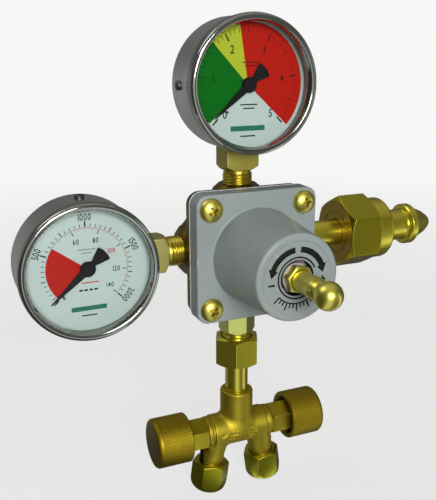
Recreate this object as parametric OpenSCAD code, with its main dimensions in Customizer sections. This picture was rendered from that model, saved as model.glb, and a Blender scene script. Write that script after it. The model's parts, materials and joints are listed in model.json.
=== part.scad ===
// Gas pressure regulator with two dial gauges and a twin-valve outlet manifold.
// Millimetres. +Z up, +X towards the inlet, -Y is the front (dial side).
// The origin is the middle of the inlet nipple's collar, which seats in the supply valve.

/* [Bonnet and body] */
// Half width of the square bonnet plate
plate_half = 27.4; // [26.8:0.1:28]
// Corner radius of the bonnet plate
plate_r = 5; // [3:0.5:6]
// Front face of the bonnet plate, along Y
plate_front = -21.1; // [-22:0.1:-20.5]
// Radius of the bonnet cone where it leaves the plate
cone_base_r = 20.4; // [19.5:0.1:21]
// Radius of the bonnet cone at its front rim
cone_front_r = 17.4; // [16.8:0.1:18]
// Front face of the bonnet cone, along Y
cone_front = -54.9; // [-56:0.1:-54]
// Distance from a bonnet screw to the centre lines
screw_off = 21.2; // [20.8:0.1:21.4]
// Radius of the round port bosses
boss_r = 11; // [10.5:0.1:11.5]

/* [Adjuster] */
// Radius of the threaded adjusting spindle
spindle_r = 4.0; // [4:0.1:4]
// Radius of the ball on the spindle
ball_r = 5.4; // [5:0.1:6]
// Centre of the ball, along Y
ball_y = -76.6; // [-79:0.1:-75]
// Width across flats of the lock nut
lock_af = 10; // [9.5:0.1:10.5]

/* [Gauges] */
// Distance from the body's centre to the left gauge's centre
gauge_off = 70; // [69:0.5:71]
// Height of the upper gauge's centre over the body's
top_off = 69.4; // [69.4:0.1:71]
// Outer radius of the bezel
bezel_r = 28; // [28:0.1:28.5]
// Outer radius of the gauge case
case_r = 27.3; // [27.3:0.1:27.3]
// Pointer direction at zero, degrees from +X towards +Z
zero_deg = 221; // [215:1:225]

/* [Inlet] */
// Width across flats of the inlet nut
inlet_af = 30; // [29:0.5:32]
// Back face of the inlet nut, along X from the body's centre
nut_back = 51.1; // [51.1:0.1:51.1]
// Radius of the nipple's tail
tail_r = 6; // [6:0.1:6]
// Radius of the nipple's collar
collar_r = 9.8; // [9.6:0.1:9.8]

/* [Outlet manifold] */
// Height of the manifold's axis
man_z = -91; // [-92:0.5:-90]
// Radius of the manifold's body
man_r = 7.75; // [7.5:0.05:8]
// Outward splay of the two outlets, degrees
splay = 8; // [6:0.5:12]
// Distance of an outlet's root from the centre line
out_x = 11; // [10.5:0.1:11.5]
// Outer radius of the valve knobs
knob_r = 11.4; // [11:0.1:12]
// Inner face of a knob, distance from the centre line
knob_in = 25.6; // [25.4:0.1:26]
// Outer face of a knob, distance from the centre line
knob_out = 42.4; // [41:0.1:43]

/* [Hidden] */
$fn = 64;

// distance from the body's centre to the origin
inlet_x = 91;
sq3 = sqrt(3);
flange_half = 26.9;
flange_front = -12.4;
flange_rear = -7.3;
dia_t = 0.8;
bonnet_rear = flange_front - dia_t;
port_r = 6.6;
gland_af = 14;
union_af = 18.8;
nipple_af = 14.5;
outnut_af = 15.6;

// ---- colours ----
c_brass = [0.62, 0.55, 0.22];
c_brass_dark = [0.42, 0.34, 0.13];
c_chrome = [0.72, 0.74, 0.74];
c_grey = [0.60, 0.64, 0.64];
c_black = [0.08, 0.08, 0.08];
c_steel = [0.70, 0.70, 0.72];
c_rubber = [0.12, 0.12, 0.12];
c_white = [0.90, 0.94, 0.91];

// ---- placing and primitive helpers ----
module place() translate([-inlet_x, 0, 0]) children();
module xcyl(r, a, b) translate([a, 0, 0]) rotate([0, 90, 0]) cylinder(r = r, h = b - a);
module ycyl(r, a, b) translate([0, a, 0]) rotate([-90, 0, 0]) cylinder(r = r, h = b - a);
module zcyl(r, a, b) translate([0, 0, a]) cylinder(r = r, h = b - a);
module xrev(p) rotate([0, 90, 0]) rotate_extrude() polygon(p);
module yrev(p) rotate([-90, 0, 0]) rotate_extrude() polygon(p);
module zrev(p) rotate_extrude() polygon(p);
module xhex(af, a, b) translate([a, 0, 0]) rotate([0, 90, 0]) cylinder(r = af / sq3, h = b - a, $fn = 6);
module zhex(af, a, b, turn = 0) translate([0, 0, a]) rotate([0, 0, turn]) cylinder(r = af / sq3, h = b - a, $fn = 6);
module yhex(af, a, b, turn = 0) rotate([0, turn, 0]) translate([0, a, 0]) rotate([-90, 0, 0]) cylinder(r = af / sq3, h = b - a, $fn = 6);
// flat shape drawn in X and Z, as seen from the front, from Y = a to Y = b
module flat(a, b) translate([0, b, 0]) rotate([90, 0, 0]) linear_extrude(b - a) children();
// square slab with round corners, facing the front
module slab(h, r, a, b) {
  translate([-h, a, -(h - r)]) cube([2 * h, b - a, 2 * (h - r)]);
  translate([-(h - r), a, -h]) cube([2 * (h - r), b - a, 2 * h]);
  for (i = [-1, 1], k = [-1, 1]) translate([i * (h - r), 0, k * (h - r)]) ycyl(r, a, b);
}
module at_screws() for (i = [-1, 1], k = [-1, 1]) translate([i * screw_off, 0, k * screw_off]) children();

// ---- body and pressure-setting parts ----
module regulator_body() color(c_brass_dark) place() difference() {
  union() {
    slab(flange_half, 5.5, flange_front, flange_rear);
    yrev([[0, -9], [24.5, -9], [24.5, -7.3], [22.5, -2], [20.5, 3], [20.5, 7], [18, 10.5], [0, 10.5]]);
    ycyl(12.5, 8, 13.4);
    for (a = [0, 90, 180, 270]) rotate([0, a, 0])
      zrev([[0, 10], [15.5, 10], [15.5, 20], [boss_r, 24.4], [boss_r - 0.2, 25.0], [8.4, 27.4], [8.0, 27.6], [0, 27.6]]);
  }
  // flat joint face
  translate([-30, -20, -30]) cube([60, 20 + flange_front, 60]);
  // low-pressure chamber behind the diaphragm
  yrev([[0, -13], [19, -13], [19, -10.6], [17, -9.6], [0, -9.6]]);
  // seat thread, high-pressure chamber and plug thread
  ycyl(5.0, -10, -1.9);
  ycyl(6.5, -2, 7.1);
  ycyl(8.0, 7, 14);
  // spot face for the plug's hexagon
  ycyl(11.3, 13.4, 16);
  // four ports
  for (a = [0, 90, 180, 270]) rotate([0, a, 0]) zcyl(port_r, 16, 28);
  // high-pressure drillings from the two side ports
  xcyl(2, -17, -5);
  xcyl(2, 5, 17);
  // low-pressure drillings from the chamber to the top and bottom ports
  for (k = [-1, 1]) translate([0, 0, k * 17.2]) rotate([0, 0, 0]) ycyl(1.6, -10.5, 0);
  at_screws() ycyl(2.55, -13, -7);
}

module bonnet() color(c_grey) place() difference() {
  union() {
    slab(plate_half - 0.35, plate_r - 0.3, plate_front, plate_front + 0.4);
    slab(plate_half, plate_r, plate_front + 0.4, bonnet_rear - 0.02);
    yrev([[0, plate_front + 0.5], [cone_base_r + 1.0, plate_front + 0.5], [cone_base_r + 0.9, plate_front],
          [cone_base_r + 0.35, plate_front - 0.3], [cone_base_r, plate_front - 1.0],
          [cone_front_r + 0.25, cone_front + 3.0], [cone_front_r, cone_front + 1.7],
          [cone_front_r - 0.45, cone_front + 0.75], [cone_front_r - 1.2, cone_front + 0.15],
          [cone_front_r - 1.9, cone_front], [cone_front_r - 2.7, cone_front], [cone_front_r - 2.95, cone_front + 0.35],
          [0, cone_front + 0.35]]);
  }
  // spring chamber, opening out to the diaphragm
  yrev([[0, -50.2], [13.2, -50.2], [14.6, -24], [19, -16], [19, -12], [0, -12]]);
  ycyl(7, cone_front - 1, -50);
  at_screws() ycyl(2.7, plate_front - 1, -12);
}

module bonnet_screws() color(c_brass) place() at_screws() difference() {
  yrev([[0, -24.35], [0.9, -24.3], [2.2, -24.05], [3.4, -23.45], [4.3, -22.6], [4.85, -21.75], [5.0, -21.15],
        [2.5, -21.15], [2.5, -5.6], [2.0, -5.1], [0, -5.1]]);
  // cross recess
  for (a = [0, 90]) rotate([0, a + 20, 0]) translate([-2.3, -25, -0.45]) cube([4.6, 2.1, 0.9]);
}

module diaphragm() color(c_rubber) place() difference() {
  slab(26.6, 5.2, bonnet_rear, flange_front);
  at_screws() ycyl(2.8, -14, -12);
}

// spring seat on the diaphragm's front
module diaphragm_plate() color(c_steel) place() difference() {
  yrev([[0, -15.2], [10.1, -15.2], [10.1, -16.6], [11.6, -16.6], [12.6, -15.6], [12.6, -13.7], [12.2, -13.3], [0, -13.3]]);
  ycyl(1.5, -16, -14.4);
}

module valve_pin() color(c_brass) place() yrev([[0, -12.3], [3.8, -12.3], [4, -12.1], [4, -11.6], [1.0, -11.6], [1.0, -1.5], [0, -1.5]]);

module valve_seat() color(c_brass) place() difference() {
  union() {
    yhex(12, -10.6, -9.65);
    yrev([[0, -9.7], [4.95, -9.7], [4.95, -2.1], [2.6, -2.1], [2.1, -1.6], [0, -1.6]]);
  }
  ycyl(1.4, -11, 0);
}

module poppet() color(c_brass) place() difference() {
  yrev([[0, -1.45], [4.2, -1.45], [4.4, -1.2], [4.4, 1.2], [4.0, 1.6], [2.0, 1.6], [2.0, 9.2], [0, 9.2]]);
  translate([-3, 3.5, -0.4]) cube([6, 1.2, 0.8]);
}

module valve_plug() color(c_brass) place() difference() {
  union() {
    ycyl(7.95, 7.2, 13.5);
    intersection() {
      yhex(19, 13.45, 17.6);
      yrev([[0, 13], [12, 13], [12, 15.9], [9.2, 17.6], [0, 17.6]]);
    }
  }
  ycyl(2.06, 7, 11.4);
  yrev([[2, 7.1], [4.2, 7.1], [4.2, 8.0], [2, 8.0]]);
}

module adjuster_bush() color([0.66, 0.60, 0.58]) place() difference() {
  yrev([[0, -53.9], [5.6, -53.9], [5.9, -53.6], [5.9, -50.15], [10.5, -50.15], [10.5, -47.4], [0, -47.4]]);
  ycyl(spindle_r + 0.05, -55, -46);
}

module spring_button() color(c_steel) place() difference() {
  yrev([[0, -44.0], [7.2, -44.0], [11.4, -42.4], [11.4, -40.4], [7.0, -40.4], [7.0, -37.6], [6.4, -37.0], [0, -37.0]]);
  yrev([[0, -44.1], [3.1, -44.1], [2.3, -42.6], [0, -42.6]]);
}

module adjusting_screw() color(c_brass) place() {
  yrev([[0, -73.4], [3.5, -73.4], [3.6, -72.2], [3.85, -71.0], [4.2, -69.9], [4.4, -68.8], [4.4, -65.2], [4.3, -64.6],
        [spindle_r, -64.0], [spindle_r, -47.4], [2.9, -44.6], [2.2, -43.0], [1.6, -42.7], [0, -42.7]]);
  translate([0, ball_y, 0]) sphere(r = ball_r);
}

module lock_nut() color(c_brass) place() difference() {
  intersection() {
    yhex(lock_af, -57.6, -54.0, 12);
    yrev([[0, -57.6], [4.9, -57.6], [5.9, -57.0], [5.9, -54.4], [5.3, -54.0], [0, -54.0]]);
  }
  ycyl(spindle_r + 0.08, -58, -53);
}

// helical wire, round section, from Y = a to Y = b
function coil_pts(rm, rw, a, b, turns, n, s) = [
  for (i = [0 : n]) let (t = 360 * turns * i / n, y = a + (b - a) * i / n, lean = atan((b - a) / (2 * PI * rm * turns)))
    for (j = [0 : s - 1]) let (u = 360 * j / s, dr = rw * cos(u), ds = rw * sin(u))
      [(rm + dr) * cos(t) + ds * sin(lean) * sin(t), y + ds * cos(lean), (rm + dr) * sin(t) - ds * sin(lean) * cos(t)]];
function coil_faces(n, s) = concat(
  [[for (j = [0 : s - 1]) j]],
  [for (i = [0 : n - 1], j = [0 : s - 1]) let (k = (j + 1) % s) [i * s + j, (i + 1) * s + j, (i + 1) * s + k]],
  [for (i = [0 : n - 1], j = [0 : s - 1]) let (k = (j + 1) % s) [i * s + j, (i + 1) * s + k, i * s + k]],
  [[for (j = [s - 1 : -1 : 0]) n * s + j]]);
module coil(rm, rw, a, b, turns, per = 18, s = 8) {
  n = round(turns * per);
  polyhedron(coil_pts(rm, rw, a + rw, b - rw, turns, n, s), coil_faces(n, s));
}

module adjusting_spring() color(c_steel) place() coil(8.5, 1.1, -40.3, -15.3, 6.5);
module poppet_spring() color(c_steel) place() coil(3.1, 0.35, 1.7, 7.95, 5, 14, 6);

// ---- inlet ----
module inlet_nipple() color(c_brass) place() difference() {
  xrev([[0, 16.2], [5.9, 16.2], [6.5, 16.9], [6.5, 27.6], [tail_r, 27.7], [tail_r, 72.0], [7.5, 72.0], [7.5, 88.4],
        [8.0, 88.7], [collar_r - 0.5, 89.0], [collar_r, 89.5], [collar_r, 92.5], [collar_r - 0.6, 93.2], [8.5, 93.8],
        [7.3, 96.2], [6.2, 98.9], [5.6, 100.2], [4.9, 101.4], [3.9, 102.8], [3.0, 103.8], [2.3, 104.3], [1.9, 104.4], [0, 104.4]]);
  xcyl(1.5, 24, 107);
  xcyl(3, 16, 25);
}

module inlet_filter() color([0.55, 0.45, 0.25]) place() difference() {
  xcyl(2.95, 16.3, 24.9);
  xcyl(1.6, 16, 22.5);
}

module inlet_nut() color(c_brass) place() difference() {
  union() {
    intersection() {
      xhex(inlet_af, nut_back, nut_back + 15.9);
      xrev([[0, nut_back], [14.8, nut_back], [18, nut_back + 1.9], [18, nut_back + 14.2], [15.4, nut_back + 15.9], [0, nut_back + 15.9]]);
    }
    xrev([[0, nut_back + 10], [14.4, nut_back + 10], [14.4, 73.6], [14.2, 74.4], [13.6, 75.0], [12.8, 75.3], [0, 75.3]]);
  }
  xcyl(tail_r + 0.1, 50, 60);
  xrev([[0, 57.3], [9.8, 57.3], [9.8, 60], [10.3, 60.6], [10.3, 74.5], [11.2, 75.4], [0, 75.4]]);
  // shallow ring cut in the back face
  xrev([[9.3, nut_back - 0.3], [10.0, nut_back - 0.3], [10.0, nut_back + 0.35], [9.3, nut_back + 0.35]]);
}

module thrust_washer() color(c_steel) place() difference() {
  xcyl(9.5, 57.4, 58.6);
  xcyl(tail_r + 0.08, 57, 59);
}

// ---- outlet ----
module outlet_nipple() color(c_brass) place() difference() {
  union() {
    zrev([[0, -16.4], [5.9, -16.4], [6.5, -17.0], [6.5, -27.5], [5.9, -27.7], [0, -27.7]]);
    intersection() {
      zhex(nipple_af, -41.2, -27.65, 38);
      zrev([[0, -27.6], [7.4, -27.6], [8.6, -28.3], [8.6, -39.9], [7.2, -41.2], [0, -41.2]]);
    }
    zrev([[0, -41], [6.4, -41], [6.0, -42.6], [6.0, -43.4], [6.5, -43.9], [6.5, -51.4], [5.9, -52.0], [0, -52.0]]);
  }
  zcyl(2.6, -50.5, -16);
  translate([0, 0, -52.1]) cylinder(r1 = 4.3, r2 = 2.6, h = 1.7);
}

module union_nut() color(c_brass) place() difference() {
  intersection() {
    zhex(union_af, -57, -43.5, -24.8 + 30);
    zrev([[0, -43.5], [8.6, -43.5], [11.2, -45.0], [11.2, -56.0], [9.4, -57], [0, -57]]);
  }
  zrev([[0, -43.4], [7.6, -43.4], [6.6, -44.4], [6.6, -54.8], [0, -54.8]]);
  zcyl(5.4, -58, -54);
}

module tailpiece() color(c_brass) place() difference() {
  zrev([[0, -51.0], [3.1, -51.0], [4.1, -52.05], [4.4, -52.15], [6.3, -52.15], [6.3, -54.2], [5.9, -54.7], [5.3, -54.7], [5.3, -79.5], [0, -79.5]]);
  zcyl(2.6, -80, -50);
}

module manifold_body() color(c_brass) place() difference() {
  union() {
    // round riser that takes the tailpiece
    zrev([[0, -71.0], [6.9, -71.0], [7.4, -71.2], [7.7, -71.7], [7.7, man_z], [0, man_z]]);
    // cross barrel, with a turned band near each end
    translate([0, 0, man_z]) xrev([[0, -16.4], [6.9, -16.4], [7.3, -16.0], [7.3, -14.6], [6.9, -14.3], [6.9, -13.8], [man_r, -13.3],
      [man_r, 13.3], [6.9, 13.8], [6.9, 14.3], [7.3, 14.6], [7.3, 16.0], [6.9, 16.4], [0, 16.4]]);
    // splayed outlet stubs
    for (k = [-1, 1]) translate([k * out_x, 0, man_z]) rotate([0, -k * splay, 0])
      zrev([[0, 0], [6.6, 0], [6.4, -7.5], [5.6, -10.5], [5.4, -14.6], [5.6, -15.0], [5.6, -21.6], [5.1, -22.0], [0, -22.0]]);
  }
  zcyl(5.35, -79.6, -70);
  zcyl(2.6, man_z, -79);
  translate([0, 0, man_z]) {
    xcyl(2.6, -9, 9);
    for (k = [-1, 1]) rotate([0, 0, k == 1 ? 0 : 180]) {
      xcyl(4.8, 8, 17);
      // end faces, clear of the gland nuts
      translate([16.42, -9, -8.3]) cube([6, 18, 10]);
    }
  }
  for (k = [-1, 1]) translate([k * out_x, 0, man_z]) rotate([0, -k * splay, 0]) {
    zcyl(2.2, -16, 0);
    zcyl(4.1, -23, -14);
  }
}

// side = -1 left, 1 right: pieces built along +X and turned round for the left
module side(k) place() translate([0, 0, man_z]) rotate([0, 0, k == 1 ? 0 : 180]) children();

module gland(k) color(c_brass) side(k) difference() {
  union() {
    xcyl(4.75, 14.5, 16.6);
    intersection() {
      xhex(gland_af, 16.5, 29.5);
      xrev([[0, 16.5], [7.0, 16.5], [8.3, 17.2], [8.3, 28.7], [7.0, 29.5], [0, 29.5]]);
    }
  }
  xcyl(2.05, 12, 30);
  xrev([[2, 18.6], [3.5, 18.6], [3.5, 20.9], [2, 20.9]]);
}
module gland_left() gland(-1);
module gland_right() gland(1);

module stem(k) color(c_brass_dark) side(k) {
  xrev([[0, 10.7], [1.3, 10.7], [1.3, 11.9], [2.0, 12.2], [2.0, 40.2], [0, 40.2]]);
}
module stem_left() stem(-1);
module stem_right() stem(1);

module seat_disc(k) color(c_rubber) side(k) difference() {
  xrev([[0, 8.1], [3.3, 8.1], [3.9, 8.7], [3.9, 12.3], [0, 12.3]]);
  xcyl(1.35, 10.6, 12.4);
  xrev([[0, 11.85], [2.05, 11.85], [2.05, 12.5], [0, 12.5]]);
}
module seat_disc_left() seat_disc(-1);
module seat_disc_right() seat_disc(1);

module ring(rm, rw, y) translate([0, 0, y]) rotate_extrude() translate([rm, 0]) circle(r = rw, $fn = 24);
module stem_orings() color(c_rubber) for (k = [-1, 1]) side(k) rotate([0, 90, 0]) ring(2.78, 0.68, 19.75);

module knob(k) color([0.52, 0.42, 0.14]) side(k) difference() {
  xrev([[0, 34.5], [9.3, 34.5], [9.3, knob_in], [knob_r - 0.5, knob_in], [knob_r, knob_in + 0.5], [knob_r, knob_out - 2.2],
        [knob_r - 0.35, knob_out - 1.2], [knob_r - 1.0, knob_out - 0.4], [knob_r - 1.9, knob_out], [0, knob_out]]);
  xcyl(2.03, 30, 40.3);
}
module knob_left() knob(-1);
module knob_right() knob(1);

// frame of an outlet: its own Z runs back up the splayed stub
module outlet(k) place() translate([k * out_x, 0, man_z]) rotate([0, -k * splay, 0]) children();

module outlet_nut(k, turn) color(c_brass) outlet(k) difference() {
  intersection() {
    zhex(outnut_af, -29.4, -15.4, turn);
    zrev([[0, -15.4], [7.1, -15.4], [9.1, -16.7], [8.85, -26.2], [8.2, -27.9], [6.7, -29.2], [0, -29.2]]);
  }
  zcyl(5.7, -23.4, -15);
  translate([0, 0, -25.0]) cylinder(r1 = 4.1, r2 = 5.7, h = 1.65);
  zcyl(4.05, -30, -24.9);
}
module outlet_nut_left() outlet_nut(-1, -15);
module outlet_nut_right() outlet_nut(1, -5);

module ferrules() color(c_brass_dark) for (k = [-1, 1]) outlet(k) difference() {
  zrev([[0, -22.1], [4.7, -22.1], [5.4, -23.0], [4.5, -24.1], [0, -24.1]]);
  zcyl(4.12, -25, -22);
}

// ---- gauges: stem towards -Z, face towards -Y, centre on the Y axis ----
module low() place() translate([0, 0, top_off]) children();
module high() place() translate([-gauge_off, 0, 0]) rotate([0, -90, 0]) children();
// the dial side of the left gauge stays upright
module high_up() place() translate([-gauge_off, 0, 0]) children();

module g_case() color(c_chrome) difference() {
  union() {
    difference() {
      yrev([[0, 7.2], [25.0, 7.2], [26.2, 6.9], [26.9, 6.2], [case_r, 5.0], [case_r, -14.5], [0, -14.5]]);
      yrev([[0, 6.4], [24.8, 6.4], [26.0, 6.0], [26.5, 4.8], [26.5, -15], [0, -15]]);
    }
    // ledge that carries the dial
    yrev([[23.8, -9.5], [26.6, -9.5], [26.6, -8.7], [23.8, -8.7]]);
  }
  // opening for the socket
  translate([-7.55, -6.05, -28]) cube([15.1, 12.35, 8]);
  // holes for the screws in the wall
  for (a = [0, 180]) rotate([0, a, 0]) translate([0, -3, 0]) xcyl(0.85, 25, 28);
}

module g_bezel() color(c_chrome) yrev([[27.35, -12.3], [27.75, -12.3], [27.9, -13.2], [bezel_r - 0.02, -14.6], [bezel_r, -16.0],
  [bezel_r - 0.2, -17.2], [bezel_r - 0.75, -18.1], [bezel_r - 1.5, -18.5], [bezel_r - 2.2, -18.4], [bezel_r - 3.1, -17.5],
  [24.4, -16.2], [27.0, -16.2], [27.0, -14.55], [27.35, -14.55]]);

module g_window() color([0.85, 0.92, 0.92, 0.35]) ycyl(26.9, -16.1, -14.6);

module g_dial() color(c_white) {
  difference() {
    ycyl(26.3, -10.2, -9.6);
    ycyl(1.7, -11, -9);
  }
  // stop pin beside the pointer's zero
  rotate([0, -(zero_deg + 6), 0]) translate([14.6, 0, 0]) ycyl(0.5, -12.5, -10.1);
}

module g_pointer() color(c_black) rotate([0, -zero_deg, 0]) difference() {
  union() {
    flat(-11.8, -11.2) union() {
      polygon([[1, -1.75], [6, -1.35], [15.5, -0.5], [19.9, -0.2], [19.9, 0.2], [15.5, 0.5], [6, 1.35], [1, 1.75]]);
      polygon([[-1, -1.5], [-3.6, -1.3], [-5.2, -2.0], [-9.0, -3.4], [-9.5, -2.2], [-9.75, 0], [-9.5, 2.2], [-9.0, 3.4],
               [-5.2, 2.0], [-3.6, 1.3], [-1, 1.5]]);
    }
    yrev([[0, -12.9], [2.3, -12.9], [2.8, -12.6], [3.1, -12.0], [3.1, -11.0], [0, -11.0]]);
  }
  ycyl(0.62, -12.2, -10.9);
}

// involute gears of the movement
g_m = 0.4;
g_pa = 30;
g_zp = 10;
g_zs = 60;
g_c = g_m * (g_zp + g_zs) / 2;
function inv_deg(a) = tan(a) * 180 / PI - a;
function half_ang(r, z) = let (rp = g_m * z / 2, rb = rp * cos(g_pa), a = r <= rb ? 0 : acos(rb / r))
  90 / z + inv_deg(g_pa) - inv_deg(a) - 0.045 / rp * 180 / PI;
function tooth(z, rr, rt) = let (n = 5, rad = [for (i = [0 : n]) rr + (rt - rr) * i / n])
  concat([for (i = [0 : n]) let (a = half_ang(rad[i], z)) rad[i] * [cos(a), -sin(a)]],
         [for (i = [n : -1 : 0]) let (a = half_ang(rad[i], z)) rad[i] * [cos(a), sin(a)]]);
arm_deg = 110;
sect = -g_c * [cos(arm_deg), sin(arm_deg)];
tail_deg = -75;
tail_len = 5;
tail_pin = sect + tail_len * [cos(tail_deg), sin(tail_deg)];
tip_deg = -36;
tip_r = 19.5;
pil_a = 6 * [cos(arm_deg), sin(arm_deg)];
pil_b = sect + 4.5 * [cos(215), sin(215)];

module g_arbor() color(c_brass) union() {
  flat(-6.4, -4.2) union() {
    for (j = [0 : g_zp - 1]) rotate(arm_deg + 180 + 18 + 36 * j) polygon(tooth(g_zp, 1.5, 2.3));
    circle(r = 1.6);
  }
  ycyl(0.6, -12.1, -1.9);
}

module g_sector() color(c_brass) translate([sect[0], 0, sect[1]]) {
  flat(-5.6, -4.8) union() {
    for (j = [-1 : 9]) rotate(arm_deg - 6 * j) polygon(tooth(g_zs, 11.5, 12.3));
    difference() {
      polygon(concat([[0, 0]], [for (a = [52 : 3.4 : 120.1]) 11.6 * [cos(a), sin(a)]]));
      polygon(concat([for (a = [64 : 4 : 108]) 9.6 * [cos(a), sin(a)]], [for (a = [106 : -13 : 67]) 3.6 * [cos(a), sin(a)]]));
    }
    circle(r = 1.6);
    rotate(tail_deg) {
      translate([0, -1]) square([tail_len, 2]);
      translate([tail_len, 0]) circle(r = 1.3);
    }
  }
  ycyl(0.6, -8.3, -1.9);
  rotate([0, -tail_deg, 0]) translate([tail_len, 0, 0]) ycyl(0.5, -6.9, -5);
}

module g_link() color(c_brass) translate([tail_pin[0], 0, tail_pin[1]]) {
  d = tip_r * [cos(tip_deg - 3), sin(tip_deg - 3)] - tail_pin;
  flat(-6.5, -5.9) rotate(atan2(d[1], d[0])) difference() {
    union() {
      translate([0, -0.7]) square([norm(d), 1.4]);
      circle(r = 1.2);
      translate([norm(d), 0]) circle(r = 1.2);
    }
    circle(r = 0.56);
    translate([norm(d), 0]) circle(r = 0.56);
  }
}

// C-shaped flattened tube with its tip piece
module g_bourdon() color(c_brass) {
  rotate([90, 0, 0]) rotate([0, 0, tip_deg]) rotate_extrude(angle = 252 - tip_deg) translate([tip_r, -2.5]) difference() {
    square([2.4, 7], center = true);
    square([1.6, 6.2], center = true);
  }
  // tip piece with its pivot finger
  rotate([90, 0, 0]) rotate([0, 0, tip_deg - 6]) rotate_extrude(angle = 7.5) translate([tip_r - 1.4, -6.1]) square([2.8, 7.2]);
  rotate([90, 0, 0]) rotate([0, 0, tip_deg - 5]) rotate_extrude(angle = 4) translate([tip_r - 1.2, 0]) square([2.2, 5.4]);
}

module g_socket() color(c_brass) difference() {
  union() {
    // outer block, its end turned to a cone
    intersection() {
      translate([-7.5, -6, -36]) cube([15, 12, 10.5]);
      zrev([[0, -36], [6.9, -36], [10, -33.8], [10, -20], [0, -20]]);
    }
    // inner block that carries the tube and the movement
    translate([-7.5, -1.7, -26]) cube([15, 7.9, 10.4]);
    // threaded shank, with the thread's ridges above the boss
    zrev([[0, -52.8], [5.9, -52.8], [6.55, -52.1], [6.55, -42.2], [6.2, -41.9], [6.5, -41.4], [6.1, -40.9], [6.5, -40.4], [6.1, -39.9],
          [6.5, -39.4], [6.1, -38.9], [6.5, -38.4], [6.1, -37.9], [5.8, -37.4], [5.8, -36.8], [6.4, -36], [0, -35.9]]);
  }
  // seat of the tube
  rotate([90, 0, 0]) rotate([0, 0, 238]) rotate_extrude(angle = 14.3) translate([tip_r - 1.25, -6.3]) square([2.5, 7.35]);
  zcyl(1.5, -53, -22);
  translate([0, 2.5, -22.5]) rotate([0, -90, 0]) cylinder(r = 1.2, h = 5.2);
  for (x = [-4.5, 3.8]) translate([x, 0, -18.4]) ycyl(0.82, -2, 1.5);
}

module plate_2d(foot) union() {
  rotate(arm_deg) translate([-g_c, -3.1]) square([g_c + 6, 6.2]);
  translate(sect) circle(r = 3.3);
  translate(pil_a) circle(r = 3.3);
  translate(pil_b) circle(r = 2.4);
  if (foot) translate([-6.4, -20.6]) square([12.8, 6.6]);
}

module g_movement() color(c_brass) {
  difference() {
    union() {
      flat(-8.4, -7.6) plate_2d(false);
      flat(-2.6, -1.8) plate_2d(true);
      translate([pil_a[0], 0, pil_a[1]]) ycyl(1.1, -7.8, -2.4);
      translate([pil_b[0], 0, pil_b[1]]) ycyl(1.1, -7.8, -2.4);
    }
    ycyl(0.65, -9, -1);
    translate([sect[0], 0, sect[1]]) ycyl(0.65, -9, -1);
    for (x = [-4.5, 3.8]) translate([x, 0, -18.4]) ycyl(0.85, -4, 0);
  }
}

module g_screws() color(c_steel) {
  // screws in the case wall
  for (a = [0, 180]) rotate([0, a, 0]) difference() {
    translate([0, -3, 0]) xrev([[0, 25.6], [0.8, 25.6], [0.8, 27.32], [2.0, 27.32], [2.0, 28.2], [1.6, 28.6], [0, 28.6]]);
    translate([28.1, -3 - 2.5, -0.3]) cube([1, 5, 0.6]);
  }
  // screws of the movement's foot
  for (x = [-4.5, 3.8]) translate([x, 0, -18.4]) yrev([[0, -3.5], [1.2, -3.5], [1.5, -3.2], [1.5, -2.62], [0.8, -2.62], [0.8, 1.2], [0, 1.2]]);
}

// flat spiral from the arbor to its outer end, as seen from the front
function spiral(r0, r1, turns, w) = let (n = round(turns * 20)) concat(
  [for (i = [0 : n]) let (t = 360 * turns * i / n, r = r0 + (r1 - r0) * i / n - w / 2) r * [cos(t), sin(t)]],
  [for (i = [n : -1 : 0]) let (t = 360 * turns * i / n, r = r0 + (r1 - r0) * i / n + w / 2) r * [cos(t), sin(t)]]);
module g_hair() color(c_steel) flat(-3.6, -3.2) rotate(arm_deg) polygon(spiral(0.9, 4.5, 4, 0.2));

module low_case() low() g_case();
module low_bezel() low() g_bezel();
module low_window() low() g_window();
module low_dial() low() g_dial();
module low_pointer() low() g_pointer();
module low_arbor() low() g_arbor();
module low_socket() low() g_socket();
module low_bourdon() low() g_bourdon();
module low_movement() low() g_movement();
module low_sector() low() g_sector();
module low_link() low() g_link();
module high_case() high() g_case();
module high_bezel() high() g_bezel();
module high_window() high() g_window();
module high_dial() high_up() g_dial();
module high_pointer() high_up() g_pointer();
module high_arbor() high() g_arbor();
module high_socket() high() g_socket();
module high_bourdon() high() g_bourdon();
module high_movement() high() g_movement();
module high_sector() high() g_sector();
module high_link() high() g_link();
module gauge_screws() { low() g_screws(); high() g_screws(); }
module hairsprings() { low() g_hair(); high() g_hair(); }

regulator_body();
bonnet();
bonnet_screws();
diaphragm();
diaphragm_plate();
valve_pin();
valve_seat();
poppet();
poppet_spring();
valve_plug();
adjusting_spring();
spring_button();
adjuster_bush();
adjusting_screw();
lock_nut();
inlet_nipple();
inlet_filter();
inlet_nut();
thrust_washer();
outlet_nipple();
union_nut();
tailpiece();
manifold_body();
gland_left();
gland_right();
stem_left();
stem_right();
seat_disc_left();
seat_disc_right();
stem_orings();
knob_left();
knob_right();
outlet_nut_left();
outlet_nut_right();
ferrules();
low_case();
low_bezel();
low_window();
low_dial();
low_pointer();
low_arbor();
low_socket();
low_bourdon();
low_movement();
low_sector();
low_link();
high_case();
high_bezel();
high_window();
high_dial();
high_pointer();
high_arbor();
high_socket();
high_bourdon();
high_movement();
high_sector();
high_link();
gauge_screws();
hairsprings();
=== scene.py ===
import json
import math

import bmesh
import bpy
import numpy as np
from mathutils import Matrix, Vector


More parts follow.
